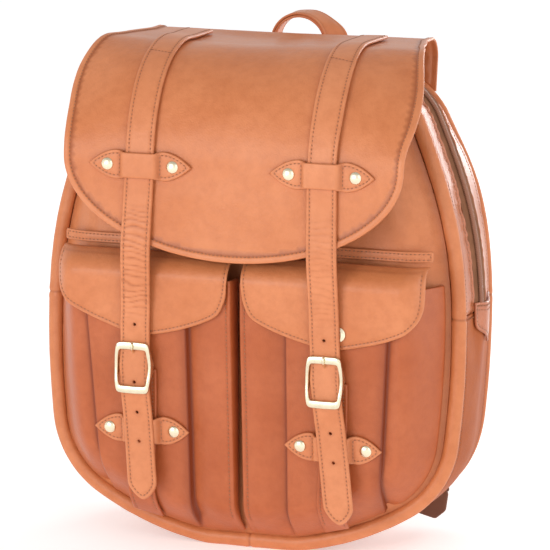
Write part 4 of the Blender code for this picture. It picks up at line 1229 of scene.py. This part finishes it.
def flap_shape(flat, at):
    """The flap's hide: slack waves, a hollow beside each strap, and a rolled border with a painted highlight
    on it and painted shade in the crease inside it.
    """
    x, run = flat[:, 0], flat[:, 1]
    front = ease((run - 10) / 60)
    lift = front * (1.3 * wander(at, 75, 61) + 0.4 * wander(at, 24, 62)) + 0.12 * wander(at, 9, 63)
    lift = lift - 0.7 * front * hump(np.abs(x) - STRAP_TOP_X, 20)
    inward = point_distance(flat, flap_outline())
    rolled = 1 - ease((inward - BORDER + 0.2) / 1.1)
    crease = hump(inward - BORDER - 0.9, 0.9)
    return lift - 0.9 + 0.9 * rolled, 0.22 * rolled - 0.55 * crease


def main_flap():
    """The hide, fixed as one piece over the hinge, its border's thread, and the lining that rides on the
    flap's moving part.
    """
    hide = Leather(flap_outline(), flap_surface, thick=FLAP_THICK, seam=BORDER, spacing=4.2, pillow=0.75,
                   facing=(0, -1, 1))
    hide_piece = hide.build("main_flap_leather", tan, flap_shape)
    sewn = hide.thread("main_flap_thread", flap_shape)
    for piece, nodes in ((hide_piece, ("main_flap", "flap_rear_strip")), (sewn, ())):
        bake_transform(piece)
        if nodes:
            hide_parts(*nodes)

    def lining_shape(flat, at):
        return flap_shape(flat, at)[0], np.zeros(len(flat))
    inner = Leather(flap_outline(7.0, 6.0), raised(flap_surface, FLAP_THICK + 1.0), thick=0.8, seam=0,
                    spacing=6, facing=(0, -1, 1))
    place(inner.build("flap_lining_cloth", lining_cloth, lining_shape), "main_flap", "flap_lining",
          slot="lining_cloth")


def flap_straps():
    """The straps' upper lengths, sewn down over the flap to their keepers."""
    for name, side in SIDES:
        end = FLAP_FRONT_RUN + ARC_Z - UPPER_KEEPER_Z + 4.5      # under the keeper
        half = STRAP_WIDE / 2
        over = raised(flap_surface, STRAP_THICK + 0.1, -1.0)

        def surface(flat, side=side, over=over):
            return over(flat + (side * STRAP_TOP_X, 0))
        lines = [[(d, 2.0), (d, end)] for d in (-(half - SEAM_INSET), half - SEAM_INSET)]
        lines.append([(SEAM_INSET - half, 99), (half - SEAM_INSET, 103)])
        strap = Leather(rectangle(-half, half, 2.0, end), surface, thick=STRAP_THICK,
                        seam=0, spacing=2.4, seams=lines, facing=(0, -1, 1))

        def shape(flat, at):
            grip = hump(flat[:, 1] - end + 22, 26)
            wrinkle = 0.22 * grip * np.sin(flat[:, 1] * 1.5 + 2.2 * wander(at, 14, 71))
            return 0.2 * wander(at, 16, 72) + wrinkle, np.zeros(len(flat))
        sew(strap, f"flap_strap_{name}", tan_strap_painted_light, "main_flap", shape)


def keeper(name, body_name, centre_x, centre_z, face_y, half_length, bridge):
    """A keeper with pointed ends over a strap, dimpled where its two studs rivet it down; keepers() adds the
    studs.
    """
    ramp = STRAP_WIDE / 2 + 1.6

    def half_height(f):
        leaf = 1 - (np.clip((f - KEEPER_SHOULDER) / (half_length - KEEPER_SHOULDER), 0, 1)) ** 1.8
        return np.maximum(KEEPER_HALF_HEIGHT * leaf - 1.6 * (1 - ease((f - ramp + 1) / 6)), 0.3)

    def surface(flat):
        f = np.abs(flat[:, 0])
        over = bridge * (1 - ease((f - ramp) / 4))
        x, z = centre_x + flat[:, 0], centre_z + flat[:, 1]
        return np.stack([x, face_y(x, z) - LEATHER - over, z], 1)
    along_f = np.concatenate([np.arange(-half_length, half_length, 1.6), [half_length]])
    top = np.stack([along_f, half_height(np.abs(along_f))], 1)
    outline = np.vstack([top * (1, -1), top[::-1]])
    seams = []
    for way in (-1, 1):
        f = np.arange(ramp + 3.6, half_length - 4.2, 1.2)
        h = np.maximum(half_height(f) - 3.0, 0.4)
        leaf = np.vstack([np.stack([f, h], 1), [(half_length - 3.6, 0)], np.stack([f, -h], 1)[::-1]])
        leaf = np.vstack([leaf, leaf[:1]]) * (way, 1)
        seams.append(leaf)
    strip = Leather(outline, surface, seam=0, spacing=2.0, seams=seams)

    def shape(flat, at):
        f = np.abs(flat[:, 0])
        crease = -0.35 * hump(f - ramp - 2.5, 1.6)
        dimple = -0.4 * hump(np.hypot(f - STUD_OFFSET, flat[:, 1]), 7)
        # Painted shade lies in the crease where the keeper rises over the strap.
        return crease + dimple + 0.12 * wander(at, 9, 81), -0.2 * hump(f - ramp - 2.5, 1.6)
    sew(strip, name, tan_strap_painted_light, body_name, shape)
    return strip, shape


def stud(name, body_name, centre, out, node):
    """A domed stud on a keeper's end."""
    dome = lathe(name, ((0.05, -0.4), (5.0, -0.4), (5.2, 0.2), (5.0, 0.7), (4.5, 1.2), (3.7, 1.7),
                        (2.6, 2.15), (1.3, 2.4), (0.05, 2.48)),
                 centre, stud_brass, out)
    place(dome, body_name, node, slot="pale_brass")


def keepers():
    """The two keepers on the flap and the two under the buckles."""
    def flap_face(x, z):
        return ARC_Y - ARC_R + 0 * z

    def pocket_face(x, z):
        return pocket_y(x, z) - 0.4
    over_chape = LEATHER + 1.2 + STRAP_THICK + 0.3
    for name, side in SIDES:
        upper_x, lower_x = side * STRAP_TOP_X, side * (STRAP_LOW_X + 0.5)
        lower_z = LOWER_KEEPER_Z - KEEPER_DROP[name]
        for level, body_name, *where in (
            ("upper", "main_flap", upper_x, UPPER_KEEPER_Z, flap_face, UPPER_KEEPER_HALF, STRAP_THICK + 0.6),
            ("lower", "bag", lower_x, lower_z, pocket_face, LOWER_KEEPER_HALF, over_chape),
        ):
            strip, shape = keeper(f"{level}_keeper_{name}", body_name, *where)
            for place_name, way in (("outer", side), ("inner", -side)):
                spot = np.array([[way * STUD_OFFSET, 0.0]])
                at, normal, _ = strip.frame_at(spot)
                lift = shape(spot, at)[0][0]
                node = f"{level}_stud_{name}_{place_name}"
                stud(f"{node}_metal", body_name, at[0] + normal[0] * (lift - 0.1), normal[0], node)


# ---------------------------------------------------------------- closure straps and buckles

STRAP_TOP_Z = UPPER_KEEPER_Z - 6           # the free strap's upper end, behind its keeper
BAR_Y = float(pocket_y(np.array([POCKET_X]), np.array([BUCKLE_Z]))[0]) - 4.5


def hung_strap_y(z):
    """Back face of the free closure strap at a height."""
    snap = float(pocket_flap_y(np.array([POCKET_X]), np.array([SNAP_Z]))[0]) - 2.4
    low = float(pocket_y(np.array([POCKET_X]), np.array([LOWER_KEEPER_Z]))[0]) - 2 * LEATHER - 3.2
    upper = ARC_Y - ARC_R - 0.4
    buckle = BAR_Y - 2.7
    heights = (40, LOWER_KEEPER_Z - 14, LOWER_KEEPER_Z + 14, BUCKLE_Z - 22, BUCKLE_Z + 22, SNAP_Z - 8,
               SNAP_Z + 7, FLAP_HINGE_Z, 320)
    depths = (low + 2, low, low - 1.4, buckle, buckle, snap, snap, upper, upper)
    z = np.asarray(z, float)
    return sum(np.interp(z + d, heights, depths) for d in (-9, -6, -3, 0, 3, 6, 9)) / 7


TAIL_TIP_Z = 45.0
CREASED = {-1: 1.0, 1: 0.35}
TAIL_DROP = {"left": 0.0, "right": 7.0}
HOLES = {"left": (193, 173.5, 144.6, 119, 94.6), "right": (191, 173.5, 139.5, 114.3, 90)}


def closure_straps():
    """The free straps, with punched holes and, on the left, many fine creases."""
    for name, side in SIDES:
        body_name = f"closure_strap_{name}"

        def surface(flat, side=side):
            z = flat[:, 1]
            return np.stack([strap_x(side, z) + flat[:, 0], hung_strap_y(z) - STRAP_THICK, z], 1)
        half = STRAP_WIDE / 2 + 0.5
        tip = [(half * share, TAIL_TIP_Z + rise) for share, rise in
               ((1, 17), (0.97, 13), (0.80, 8.5), (0.52, 4), (0.24, 1.2), (0, 0))]
        tip = smooth_path(tip, 1.0) - (0, TAIL_DROP[name])
        outline = np.vstack([[(-half, STRAP_TOP_Z)], tip[:-1] * (-1, 1), tip[::-1], [(half, STRAP_TOP_Z)]])
        holes = [(0.0, z, 1.35) for z in HOLES[name]]
        strap = Leather(outline, surface, thick=STRAP_THICK, spacing=1.5, holes=holes)

        def shape(flat, at, side=side, heights=HOLES[name]):
            x, z = flat[:, 0], flat[:, 1]
            middle = 1 - 0.7 * (np.abs(x) / (STRAP_WIDE / 2)) ** 4
            creased = CREASED[side] * ease((300 - z) / 20) * ease((z - 190) / 25) * middle
            phase = z * 0.62 + 2.6 * wander(at, 15, 91 + side) + 0.05 * x
            fine = np.abs(np.sin(phase)) ** 0.6 - 0.6
            lift = creased * fine * (0.7 + 0.8 * wander(at, 11, 95)) + 0.15 * wander(at, 14, 97)
            pull = -0.5 * hump(z - 182, 7) * (np.abs(x) / 12) ** 2
            # Painted highlights on the wrinkles' ridges and painted shade in their hollows; the leather
            # round each hole is made darker too.
            painted_light = creased * (0.25 * np.clip(fine, 0, 1) - 0.7 * np.clip(0.2 - fine, 0, 1))
            punched = sum(hump(np.hypot(x, z - hole_z), 2.1) for hole_z in heights)
            return lift + pull - 0.25 * punched, painted_light - 0.5 * np.clip(punched, 0, 1)
        sew(strap, body_name, tan_strap_painted_light, body_name, shape, keep=lambda p: p[:, 1] < STRAP_TOP_Z - 4)
        chape(name, side)
        buckle(name, side)


CHAPE_SHIFT = 2.2          # to the right, at the buckle
CHAPE_LEAN = 5.0           # to the left, at its foot


def chape(name, side):
    """The lower strap, sewn on the pocket down to the rolled edge, that holds the buckle's bar."""
    def surface(flat):
        lean = CHAPE_LEAN * ease((150 - flat[:, 1]) / 130)
        x = side * STRAP_LOW_X + CHAPE_SHIFT - lean + flat[:, 0]
        under = np.min([pocket_y(np.full(len(x), STRAP_LOW_X + d), flat[:, 1]) for d in (-12, 0, 12)],
                       axis=0)
        return np.stack([x, under - 1.2 - LEATHER, flat[:, 1]], 1)
    half = STRAP_WIDE / 2 - 0.6
    heights = np.arange(4, 80, 0.5)
    foot = []
    for d in np.linspace(-half, half, 9):
        foot_x = abs(side * STRAP_LOW_X + CHAPE_SHIFT - CHAPE_LEAN + d)
        from_rim = edge_distance(np.full(len(heights), foot_x), heights)
        foot.append((d, float(heights[from_rim > PIPING_WIDE + 1.0][0])))
    outline = [(-half, BUCKLE_Z - 3)] + foot + [(half, BUCKLE_Z - 3)]
    strap = Leather(outline, surface, seam=0, spacing=2.6,
                    seams=[[(x, 30), (x, BUCKLE_Z - 6)] for x in (SEAM_INSET - half, half - SEAM_INSET)])
    sew(strap, f"chape_strap_{name}", tan_painted_shade, "bag", soft_shape(0.2, 15, 101))


BUCKLE_OUTER = ((15.7, 0), (15.6, 5), (15.2, 11), (14.5, 16), (13.9, 19.2), (12.6, 21.4), (9.5, 22.2),
                (0, 22.5))
BUCKLE_INNER = ((12.9, 0), (12.8, 5), (12.4, 9.5), (11.9, 13), (11.4, 14.6), (10.6, 15.5), (8.6, 15.8),
                (0, 15.9))
BUCKLE_BOW = 7.7


def buckle_loop(knots, count=26):
    """A closed loop from one quarter's knots, mirrored both ways."""
    quarter = resample(smooth_path(knots, 0.4), count=count)
    half = np.vstack([quarter, quarter[::-1][1:] * (-1, 1)])
    return np.vstack([half, half[::-1][1:-1] * (1, -1)])


def buckle(name, side):
    """A centre-bar buckle: a frame that bows forwards at its ends, a bar and a prong."""
    cx = float(strap_x(side, np.array(BUCKLE_Z)))
    outer, inner = (buckle_loop(knots) * (1, 0.95) - (0, 1.0) for knots in (BUCKLE_OUTER, BUCKLE_INNER))
    section = ((1.0, 0.55), (0.92, 0.86), (0.72, 1.0), (0.0, 1.06), (-0.72, 1.0), (-0.92, 0.86),
               (-1.0, 0.55), (-1.0, -0.6), (-0.85, -1.0), (0.0, -1.0), (0.85, -1.0), (1.0, -0.6))
    rings = []
    for o, i in zip(outer, inner):
        centre, half = (o + i) / 2, (o - i) / 2
        front = BAR_Y - BUCKLE_BOW - 1.6 + 1.7 * (1 - float(ease(abs(centre[1]) / 15)))
        back = BAR_Y + 1.3 - (BUCKLE_BOW - 0.4) * float(ease(abs(centre[1]) / 12.5))
        depth, thick = (front + back) / 2, (back - front) / 2
        rings.append([(cx + centre[0] + half[0] * sx, depth - thick * sy,
                       BUCKLE_Z + centre[1] + half[1] * sx) for sx, sy in section])
    ring = tube("ring", rings, brass, True)
    rod_path = np.linspace((cx - 14.2, BAR_Y, BUCKLE_Z), (cx + 14.2, BAR_Y, BUCKLE_Z), 8)
    rod = bar("rod", rod_path, 1.25, brass, 16)
    node = f"buckle_frame_{name}"
    place(joined(f"{node}_metal", [ring, rod]), "bag", node, slot="pale_brass")

    front = BAR_Y - BUCKLE_BOW - 2.3
    path = smooth_path([(cx, BAR_Y - 2.2, BUCKLE_Z - 0.4), (cx, BAR_Y - 2.0, BUCKLE_Z + 4),
                        (cx, BAR_Y - 4.2, BUCKLE_Z + 10), (cx, front, BUCKLE_Z + 15),
                        (cx, front - 0.5, BUCKLE_Z + 18), (cx, front, BUCKLE_Z + 20.2)], 0.7)
    radii = 1.15 * np.sqrt(np.clip((along(path)[-1] - along(path) + 0.25) / 1.6, 0.05, 1))
    tongue = bar("tongue", path, radii, brass, 14, 0.9, (1, 0, 0))
    around = np.linspace(-pi * 0.92, pi * 0.92, 26)
    collar_path = [(cx, BAR_Y - 2.0 * cos(a), BUCKLE_Z + 2.0 * sin(a)) for a in around]
    collar = bar("collar", collar_path, 1.5, brass, 10, 0.35, (1, 0, 0))
    node = f"buckle_prong_{name}"
    place(joined(f"{node}_metal", [tongue, collar]), node, node, slot="pale_brass")


# ---------------------------------------------------------------- handle and back

HANDLE_BASE_Z = 374.5
HANDLE_HALF = 22.5
HANDLE_SPRING_Z = 409.0
HANDLE_WIDE = 23.0
HANDLE_Y = BACK_Y + 9.4
LEFT_TWIST, RIGHT_TWIST = 88, 38           # degrees that the strap turns by on its way up


def handle_line():
    """The handle's near edge and its width direction at each station."""
    stations = [((-1, 0, 0), z, LEFT_TWIST * float(ease((z - HANDLE_BASE_Z) / 44)))
                for z in np.linspace(HANDLE_BASE_Z, HANDLE_SPRING_Z, 22)[:-1]]
    for a in np.linspace(180, 0, 50):
        turned = LEFT_TWIST - (LEFT_TWIST - RIGHT_TWIST) * float(ease((90 - a) / 90))
        stations.append(((cos(radians(a)), 0, sin(radians(a))), HANDLE_SPRING_Z, turned))
    stations += [((1, 0, 0), z, RIGHT_TWIST * float(ease((z - HANDLE_BASE_Z) / 42)))
                 for z in np.linspace(HANDLE_SPRING_Z, HANDLE_BASE_Z, 22)[1:]]
    edge, across = [], []
    for radial, z, turned in stations:
        radial, angle = np.array(radial), radians(turned)
        flatten = float(ease(radial[0] / 0.75)) if radial[0] > 0 else 0.0
        outwards = unit(radial * (1 - flatten) + np.array((1.0, 0, 0)) * flatten)
        aside = outwards * cos(angle) + np.array((0, 1, 0)) * sin(angle)
        point = np.array((-3.0, HANDLE_Y, z)) + HANDLE_HALF * radial
        point[1] += 2.0 * (point[2] - HANDLE_BASE_Z) / 62
        edge.append(point)
        across.append(aside)
    return np.array(edge), np.array(across)


def handle():
    """Two leather layers sewn together along the twisted line."""
    edge, across = handle_line()
    middle = edge + across * HANDLE_WIDE / 2
    run = along(middle)
    step = np.arange(0, run[-1], 1.0)
    kernel = np.ones(7) / 7

    def columns(at, stations, values):
        return np.stack([np.interp(at, stations, values[:, k]) for k in range(3)], 1)

    def smoothed(values):
        padded = np.pad(values, ((3, 3), (0, 0)), mode="edge")
        return np.stack([np.convolve(padded[:, k], kernel, "valid") for k in range(3)], 1)
    centre = smoothed(columns(step, run, middle))
    aside = unit(smoothed(unit(columns(step, run, across))))

    def surface(flat):
        s = np.clip(flat[:, 1], 0, step[-1])
        return columns(s, step, centre) + unit(columns(s, step, aside)) * flat[:, :1]
    length = step[-1]
    w = HANDLE_WIDE / 2
    lines = [[(d, 1), (d, length - 1)] for d in (-w + 3, w - 3)]
    shape = soft_shape(0.35, 18, 111, 0.12)
    middle_line = np.stack([np.zeros(50), np.linspace(1, length - 1, 50)], 1)
    way = (raised(surface, 1.0)(middle_line) - surface(middle_line)).sum(0)
    outer = Leather(rectangle(-w, w, 0, length), raised(surface, 2.1), thick=2.1, seam=0, spacing=2.4,
                    seams=lines, facing=way)
    inner = Leather(rectangle(-w + 0.3, w - 0.3, 0, length), raised(surface, -2.1), thick=2.0, seam=0,
                    spacing=2.4, seams=lines, facing=-way)
    place(outer.build("handle_leather", tan_strap_painted_light, shape), "handle", "handle", slot="tan_leather")
    place(inner.build("handle_lining_leather", tan_strap_painted_light, shape), "handle", slot="tan_leather")
    place(outer.thread("handle_thread", shape), "handle")


def yoke():
    """The patch that covers the upper ends of the shoulder straps."""
    outline = np.array([(-96, 372), (-96, 357), (-82, 347), (82, 347), (96, 357), (96, 372)])
    outline = spread_round(outline, 3.0)
    patch = Leather(outline, flat_face(BACK_Y + 0.4 + LEATHER * 0.8), thick=1.9, seam=3.5, spacing=3.5,
                    facing=(0, 1, 0), seams=[[(x, 350), (x, 369)] for x in (-30, 30)])
    sew(patch, "strap_yoke", tan, "bag", soft_shape(0.2, 25, 121))


SHOULDER_KNOTS = ((66, 84.5, 343), (68, 93, 325), (72, 102.5, 290), (79, 105, 230), (94, 102, 165),
                  (110, 95.5, 123))
LOWER_STRAP = ((111.5, 94.0, 117.0), (128.0, 85.5, 30.0))
PAD_FLANGE = 5.0         # flat sewn border of a shoulder strap's padding


def shoulder_straps():
    for name, side in SIDES:
        padded_strap(name, side)
        lower_strap(name, side)


def padded_strap(name, side):
    """A leather strap stuffed between two seams: flat sewn borders, a full middle, creases at its bends."""
    path = smooth_path(np.array(SHOULDER_KNOTS) * (side, 1, 1), 1.7)
    share = along(path) / along(path)[-1]
    widths = np.interp(share, (0, 0.2, 0.7, 0.97, 1), (44, 56, 52, 34, 30))
    widths = np.convolve(np.pad(widths, 6, mode="edge"), np.ones(13) / 13, "valid")
    tangent = unit(np.gradient(path, axis=0))
    across = unit(np.array((1.0, 0, 0)) - tangent * tangent[:, :1])
    normal = np.cross(tangent, across)
    normal *= np.sign(normal[:, 1:2])
    columns = np.concatenate([np.linspace(-1, 1, 47), np.linspace(1, -1, 47)])
    top = np.concatenate([np.ones(47), -np.ones(47)])
    rings, groove_shade_rows, seams = [], [], [[], []]
    stations = np.column_stack([share * 300, np.zeros(len(path)), np.full(len(path), side * 9.0)])
    bend = wander(stations, 26, 131)
    for k, (p, a, n, w) in enumerate(zip(path, across, normal, widths)):
        reach = np.abs(columns) * w / 2
        inset = w / 2 - reach
        end = min(1.0, min(share[k], 1 - share[k]) * along(path)[-1] / 12)
        full = np.sin(np.clip((inset - PAD_FLANGE) / 11, 0, 1) * pi / 2) ** 0.8 * sqrt(max(end, 0.0))
        pucker = hump(inset - PAD_FLANGE - 2.5, 2.2) * sin(k * 2.05)
        crease = 0.5 * bend[k] * full
        groove = -0.55 * hump(inset - PAD_FLANGE + 1.2, 0.8)
        edge = -1.1 * (1 - np.sqrt(np.clip(inset / 1.1, 0, 1)))
        height = 1.5 + edge + 3.6 * full + 0.28 * pucker + crease + groove
        rise = height * np.where(top > 0, 1, 0.75) * top
        rings.append(p + np.outer(columns * w / 2, a) + np.outer(rise, n))
        # Painted shade along each seam groove.
        groove_shade_rows.append(-0.5 * hump(inset - PAD_FLANGE + 1.2, 0.9))
        for index, way in enumerate((-1, 1)):
            seams[index].append(p + a * way * (w / 2 - PAD_FLANGE + 1.2) + n * 1.15)
    strap = tube(f"shoulder_strap_{name}_leather", rings, tan, painted_light=np.concatenate(groove_shade_rows))
    place(strap, "bag", f"shoulder_strap_{name}", slot="tan_leather")
    sets = []
    for seam in seams:
        line = resample(seam[4:-4], STITCH)
        middle = (line[:-1] + line[1:]) / 2
        station = (np.arange(len(middle)) / len(middle) * len(path)).astype(int)
        sets.append((middle, unit(np.diff(line, axis=0)), normal[station]))
    place(stitches(f"shoulder_strap_{name}_thread", sets, thread), "bag")


def lower_strap(name, side):
    """The plain strap below the padding, its adjuster, and the tab that anchors it at the bottom corner."""
    start, end = (np.array(p) * (side, 1, 1) for p in LOWER_STRAP)
    down = unit(end - start)
    length = np.linalg.norm(end - start)
    across = unit(np.array((1.0, 0, 0)) - down * down[0])

    def surface(flat):
        return start + np.outer(flat[:, 1], down) + np.outer(flat[:, 0], across)
    out = np.cross(down, across)
    out = out * np.sign(out[1])
    webbing = Leather(rectangle(-11, 11, 0, length, 1.0), lambda flat: surface(flat) + out * 1.1, thick=2.2,
                      seam=2.4, spacing=2.6, facing=(0, 1, 0))
    sew(webbing, f"lower_strap_{name}", dark_strap, "bag", soft_shape(0.2, 20, 141, 0.05), "webbing")

    corners = np.array([(110, 38), (131, 40), (139, 32), (137, 16), (128, 8), (112, 12)]) * (side, 1)
    outline = spread_round(corners, 2.0)
    patch = Leather(outline, flat_face(BACK_Y + 3.5 + LEATHER), seam=3.0, spacing=2.6,
                    seams=[[(side * 116, 17), (side * 131, 35)], [(side * 131, 18), (side * 116, 35)]],
                    facing=(0, 1, 0))
    place(patch.build(f"strap_anchor_{name}_leather", dark_strap, soft_shape(0.15, 15, 151)), "bag",
          f"strap_anchor_{name}", slot="dark_leather")
    place(patch.thread(f"strap_anchor_{name}_thread"), "bag")

    centre = start + (end - start) * 0.3
    corner_w, corner_o, bend = 12.2, 2.0, 1.9
    loop = []
    for u, v, first in ((1, 1, 0), (-1, 1, 90), (-1, -1, 180), (1, -1, 270)):
        for a in np.radians(np.linspace(first, first + 90, 7)):
            loop.append(centre + across * (u * corner_w + bend * cos(a))
                        + out * (v * corner_o + bend * sin(a)))
    rings = []
    for p in loop:
        outward = unit(p - centre)
        rings.append([p + outward * 0.95 * cos(b) + down * 3.5 * np.sign(sin(b)) * abs(sin(b)) ** 0.6
                      for b in np.linspace(0, tau, 20, endpoint=False)])
    node = f"strap_adjuster_{name}"
    place(tube(f"{node}_metal", rings, brass, True), node, node, slot="pale_brass")


# ---------------------------------------------------------------- the zip's slider

def zip_slider():
    """The parked slider and the leather pull on it."""
    low, high = cad_box("zip_slider")
    centre = (low + high) / 2
    lean = radians(8.6)
    up = np.array((sin(lean), 0, cos(lean)))
    out = np.array((-cos(lean), 0, sin(lean)))
    sections = ((-6.0, 2.6, 1.1), (-5.6, 3.3, 1.6), (-3, 4.2, 1.9), (1, 4.7, 2.0), (4.6, 4.6, 1.9),
                (5.6, 3.8, 1.4), (6.0, 3.0, 1.0))
    rings = []
    for rise, wide, tall in sections:
        rings.append([centre - out * 0.2 + up * rise + np.array((0, 1, 0)) * wide * np.sign(cos(b))
                      * abs(cos(b)) ** 0.6 + out * tall * np.sign(sin(b)) * abs(sin(b)) ** 0.7
                      for b in np.linspace(0, tau, 28, endpoint=False)])
    block = tube("block", rings, brass)
    hoop = ((1.2, -4.5), (2.6, -3.8), (3.2, -2), (3.3, 1), (2.8, 3.4), (1.4, 4.4))
    arch = bar("arch", [centre + out * h + up * r for h, r in hoop], 0.8, brass, 10, 1.6, (0, 1, 0))
    place(slumped(joined("zip_slider_metal", [block, arch])), "zip_slider", "zip_slider",
          slot="pale_brass")
    low, high = cad_box("zip_pull")
    x, top = (low[0] + high[0]) / 2, high[2]
    profile = ((1.5, 0.2), (2.0, 2.0), (3.0, 3.2), (6, 4.2), (16, 4.8), (26, 5.2), (30, 3.8), (31.2, 0.3))
    shape_2d = [(ZIP_Y + w, top - d) for d, w in profile] + [(ZIP_Y - w, top - d) for d, w in profile[::-1]]
    outline = resample(np.array(shape_2d + shape_2d[:1]), 0.8)[:-1]
    pull = Leather(outline, lambda flat: np.stack([np.full(len(flat), x - 0.9), flat[:, 0], flat[:, 1]], 1),
                   thick=1.8, seam=1.6, spacing=1.5, facing=(-1, 0, 0))
    sew(pull, "zip_pull", tan_strap_painted_light, "zip_pull", slump=True, pitch=2.2, keep=lambda p: p[:, 1] < top - 5)


# ---------------------------------------------------------------- inside the bag

def inside_pieces():
    """Linings, the stiff board and the laptop sleeve."""
    for node, inset, wave, finish, thick, slot in (
        ("padded_back_lining", 10.0, 0.6, foam_cloth, 5.6, "foam_padding"),
        ("lining_front", 16.0, 0.0, lining_cloth, 0.8, "lining_cloth"),
    ):
        low, high = cad_box(node)
        outline = full_outline(inset)
        front = low[1]

        def face(x, z, front=front, wave=wave):
            return front + wave * (1 - np.abs(np.sin(x * pi / 40) * np.sin(z * pi / 40)) ** 0.5)
        piece = Leather(outline, front_surface(face), thick=thick, seam=0, spacing=8)
        place(slumped(piece.build(f"{node}_cloth", finish)), "bag", node, slot=slot)
    low, high = cad_box("laptop_sleeve")
    sleeve = Leather(rectangle(low[0], high[0], low[2], high[2], 6.0),
                     flat_face(low[1]), thick=1.6, seam=6.0, spacing=8)
    place(sleeve.build("laptop_sleeve_cloth", lining_cloth), "bag", "laptop_sleeve", slot="lining_cloth")
    low, high = cad_box("lining_lower")
    half = half_outline(LEATHER + 0.4, step=2.0)
    surface, length = band_surface(rib_path(half[half[:, 1] <= high[2]][::-1]))
    lower = Leather(rectangle(0, length, low[1], high[1]), surface, thick=0.8, seam=0, spacing=8,
                    facing=(0, 0, -1))
    place(slumped(lower.build("lining_lower_cloth", lining_cloth)), "bag", "lining_lower",
          slot="lining_cloth")
    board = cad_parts["bottom_board"]
    board.data.materials.clear()
    board.data.materials.append(base_board)


# ---------------------------------------------------------------- camera and light

def area_light(name, place_at, target, size, power):
    """A white rectangular lamp at a place, in metres, that faces its target."""
    data = bpy.data.lights.new(name, "AREA")
    data.shape = "RECTANGLE"
    data.size, data.size_y = size
    data.energy = power
    lamp = bpy.data.objects.new(name, data)
    lamp.location = place_at
    lamp.rotation_euler = (Vector(target) - Vector(place_at)).to_track_quat("-Z", "Y").to_euler()
    in_scene(lamp)


def camera(azimuth, elevation, roll, distance, target, lens):
    """Azimuth 0 looks along +Y and 90 along -X."""
    a, e = radians(azimuth), radians(elevation)
    away = Vector((sin(a) * cos(e), -cos(a) * cos(e), sin(e)))
    data = bpy.data.cameras.new("camera")
    data.lens = lens
    data.sensor_width = 36
    data.clip_end = 50
    eye = bpy.data.objects.new("camera", data)
    eye.location = Vector(target) + away * distance
    turn = (-away).to_track_quat("-Z", "Y").to_matrix().to_4x4()
    eye.rotation_euler = (turn @ Matrix.Rotation(radians(roll), 4, "Z")).to_euler()
    bpy.context.scene.camera = in_scene(eye)


FLOOR_REACH = 12.0         # metres


def studio():
    """A pale floor, a white room and large soft lamps."""
    plane = bpy.data.meshes.new("floor")
    corners = [(FLOOR_REACH * u, FLOOR_REACH * v, 0) for u, v in ((-1, -1), (1, -1), (1, 1), (-1, 1))]
    plane.from_pydata(corners, [], [(0, 1, 2, 3)])
    pale = bpy.data.materials.new("pale_floor")
    pale.use_nodes = True
    shader = pale.node_tree.nodes["Principled BSDF"]
    shader.inputs["Base Color"].default_value = (0.96, 0.96, 0.96, 1)
    shader.inputs["Roughness"].default_value = 0.9
    shader.inputs["Emission Color"].default_value = (1, 1, 1, 1)
    shader.inputs["Emission Strength"].default_value = 0.40
    plane.materials.append(pale)
    in_scene(bpy.data.objects.new("floor", plane))
    world = bpy.data.worlds.new("white_room")
    world.use_nodes = True
    tree = world.node_tree
    height = tree.nodes.new("ShaderNodeSeparateXYZ")
    tree.links.new(tree.nodes.new("ShaderNodeTexCoord").outputs["Generated"], height.inputs[0])
    fade = tree.nodes.new("ShaderNodeValToRGB")
    fade.color_ramp.elements[0].position, fade.color_ramp.elements[0].color = 0.25, (1, 1, 1, 1)
    fade.color_ramp.elements[1].position, fade.color_ramp.elements[1].color = 0.85, (0.48, 0.48, 0.48, 1)
    tree.links.new(height.outputs["Z"], fade.inputs["Fac"])
    tree.links.new(fade.outputs["Color"], tree.nodes["Background"].inputs["Color"])
    tree.nodes["Background"].inputs["Strength"].default_value = 1.0
    bpy.context.scene.world = world
    middle = (0, 0, 0.22)
    for name, place_at, size, power in (
        ("key", (-0.8, -2.0, 0.55), (1.0, 0.8), 12.2),
        ("fill", (1.3, -1.5, 0.7), (0.9, 1.2), 3.2),
        ("top", (0.1, 0.1, 1.9), (1.4, 1.2), 0.7),
        ("side", (1.9, 0.45, 0.75), (0.35, 1.2), 6),
        ("back", (0.75, 2.2, 0.75), (0.9, 0.9), 14),
    ):
        area_light(name, place_at, middle, size, power)
    bpy.context.scene.view_settings.view_transform = "Standard"


body()
zip_end_tabs()
pockets()
main_flap()
flap_straps()
keepers()
closure_straps()
handle()
yoke()
shoulder_straps()
zip_slider()
inside_pieces()
studio()
camera(azimuth=17.0, elevation=10.0, roll=0.9, distance=2.833, target=(0.0015, 0.017, 0.221), lens=222.5)
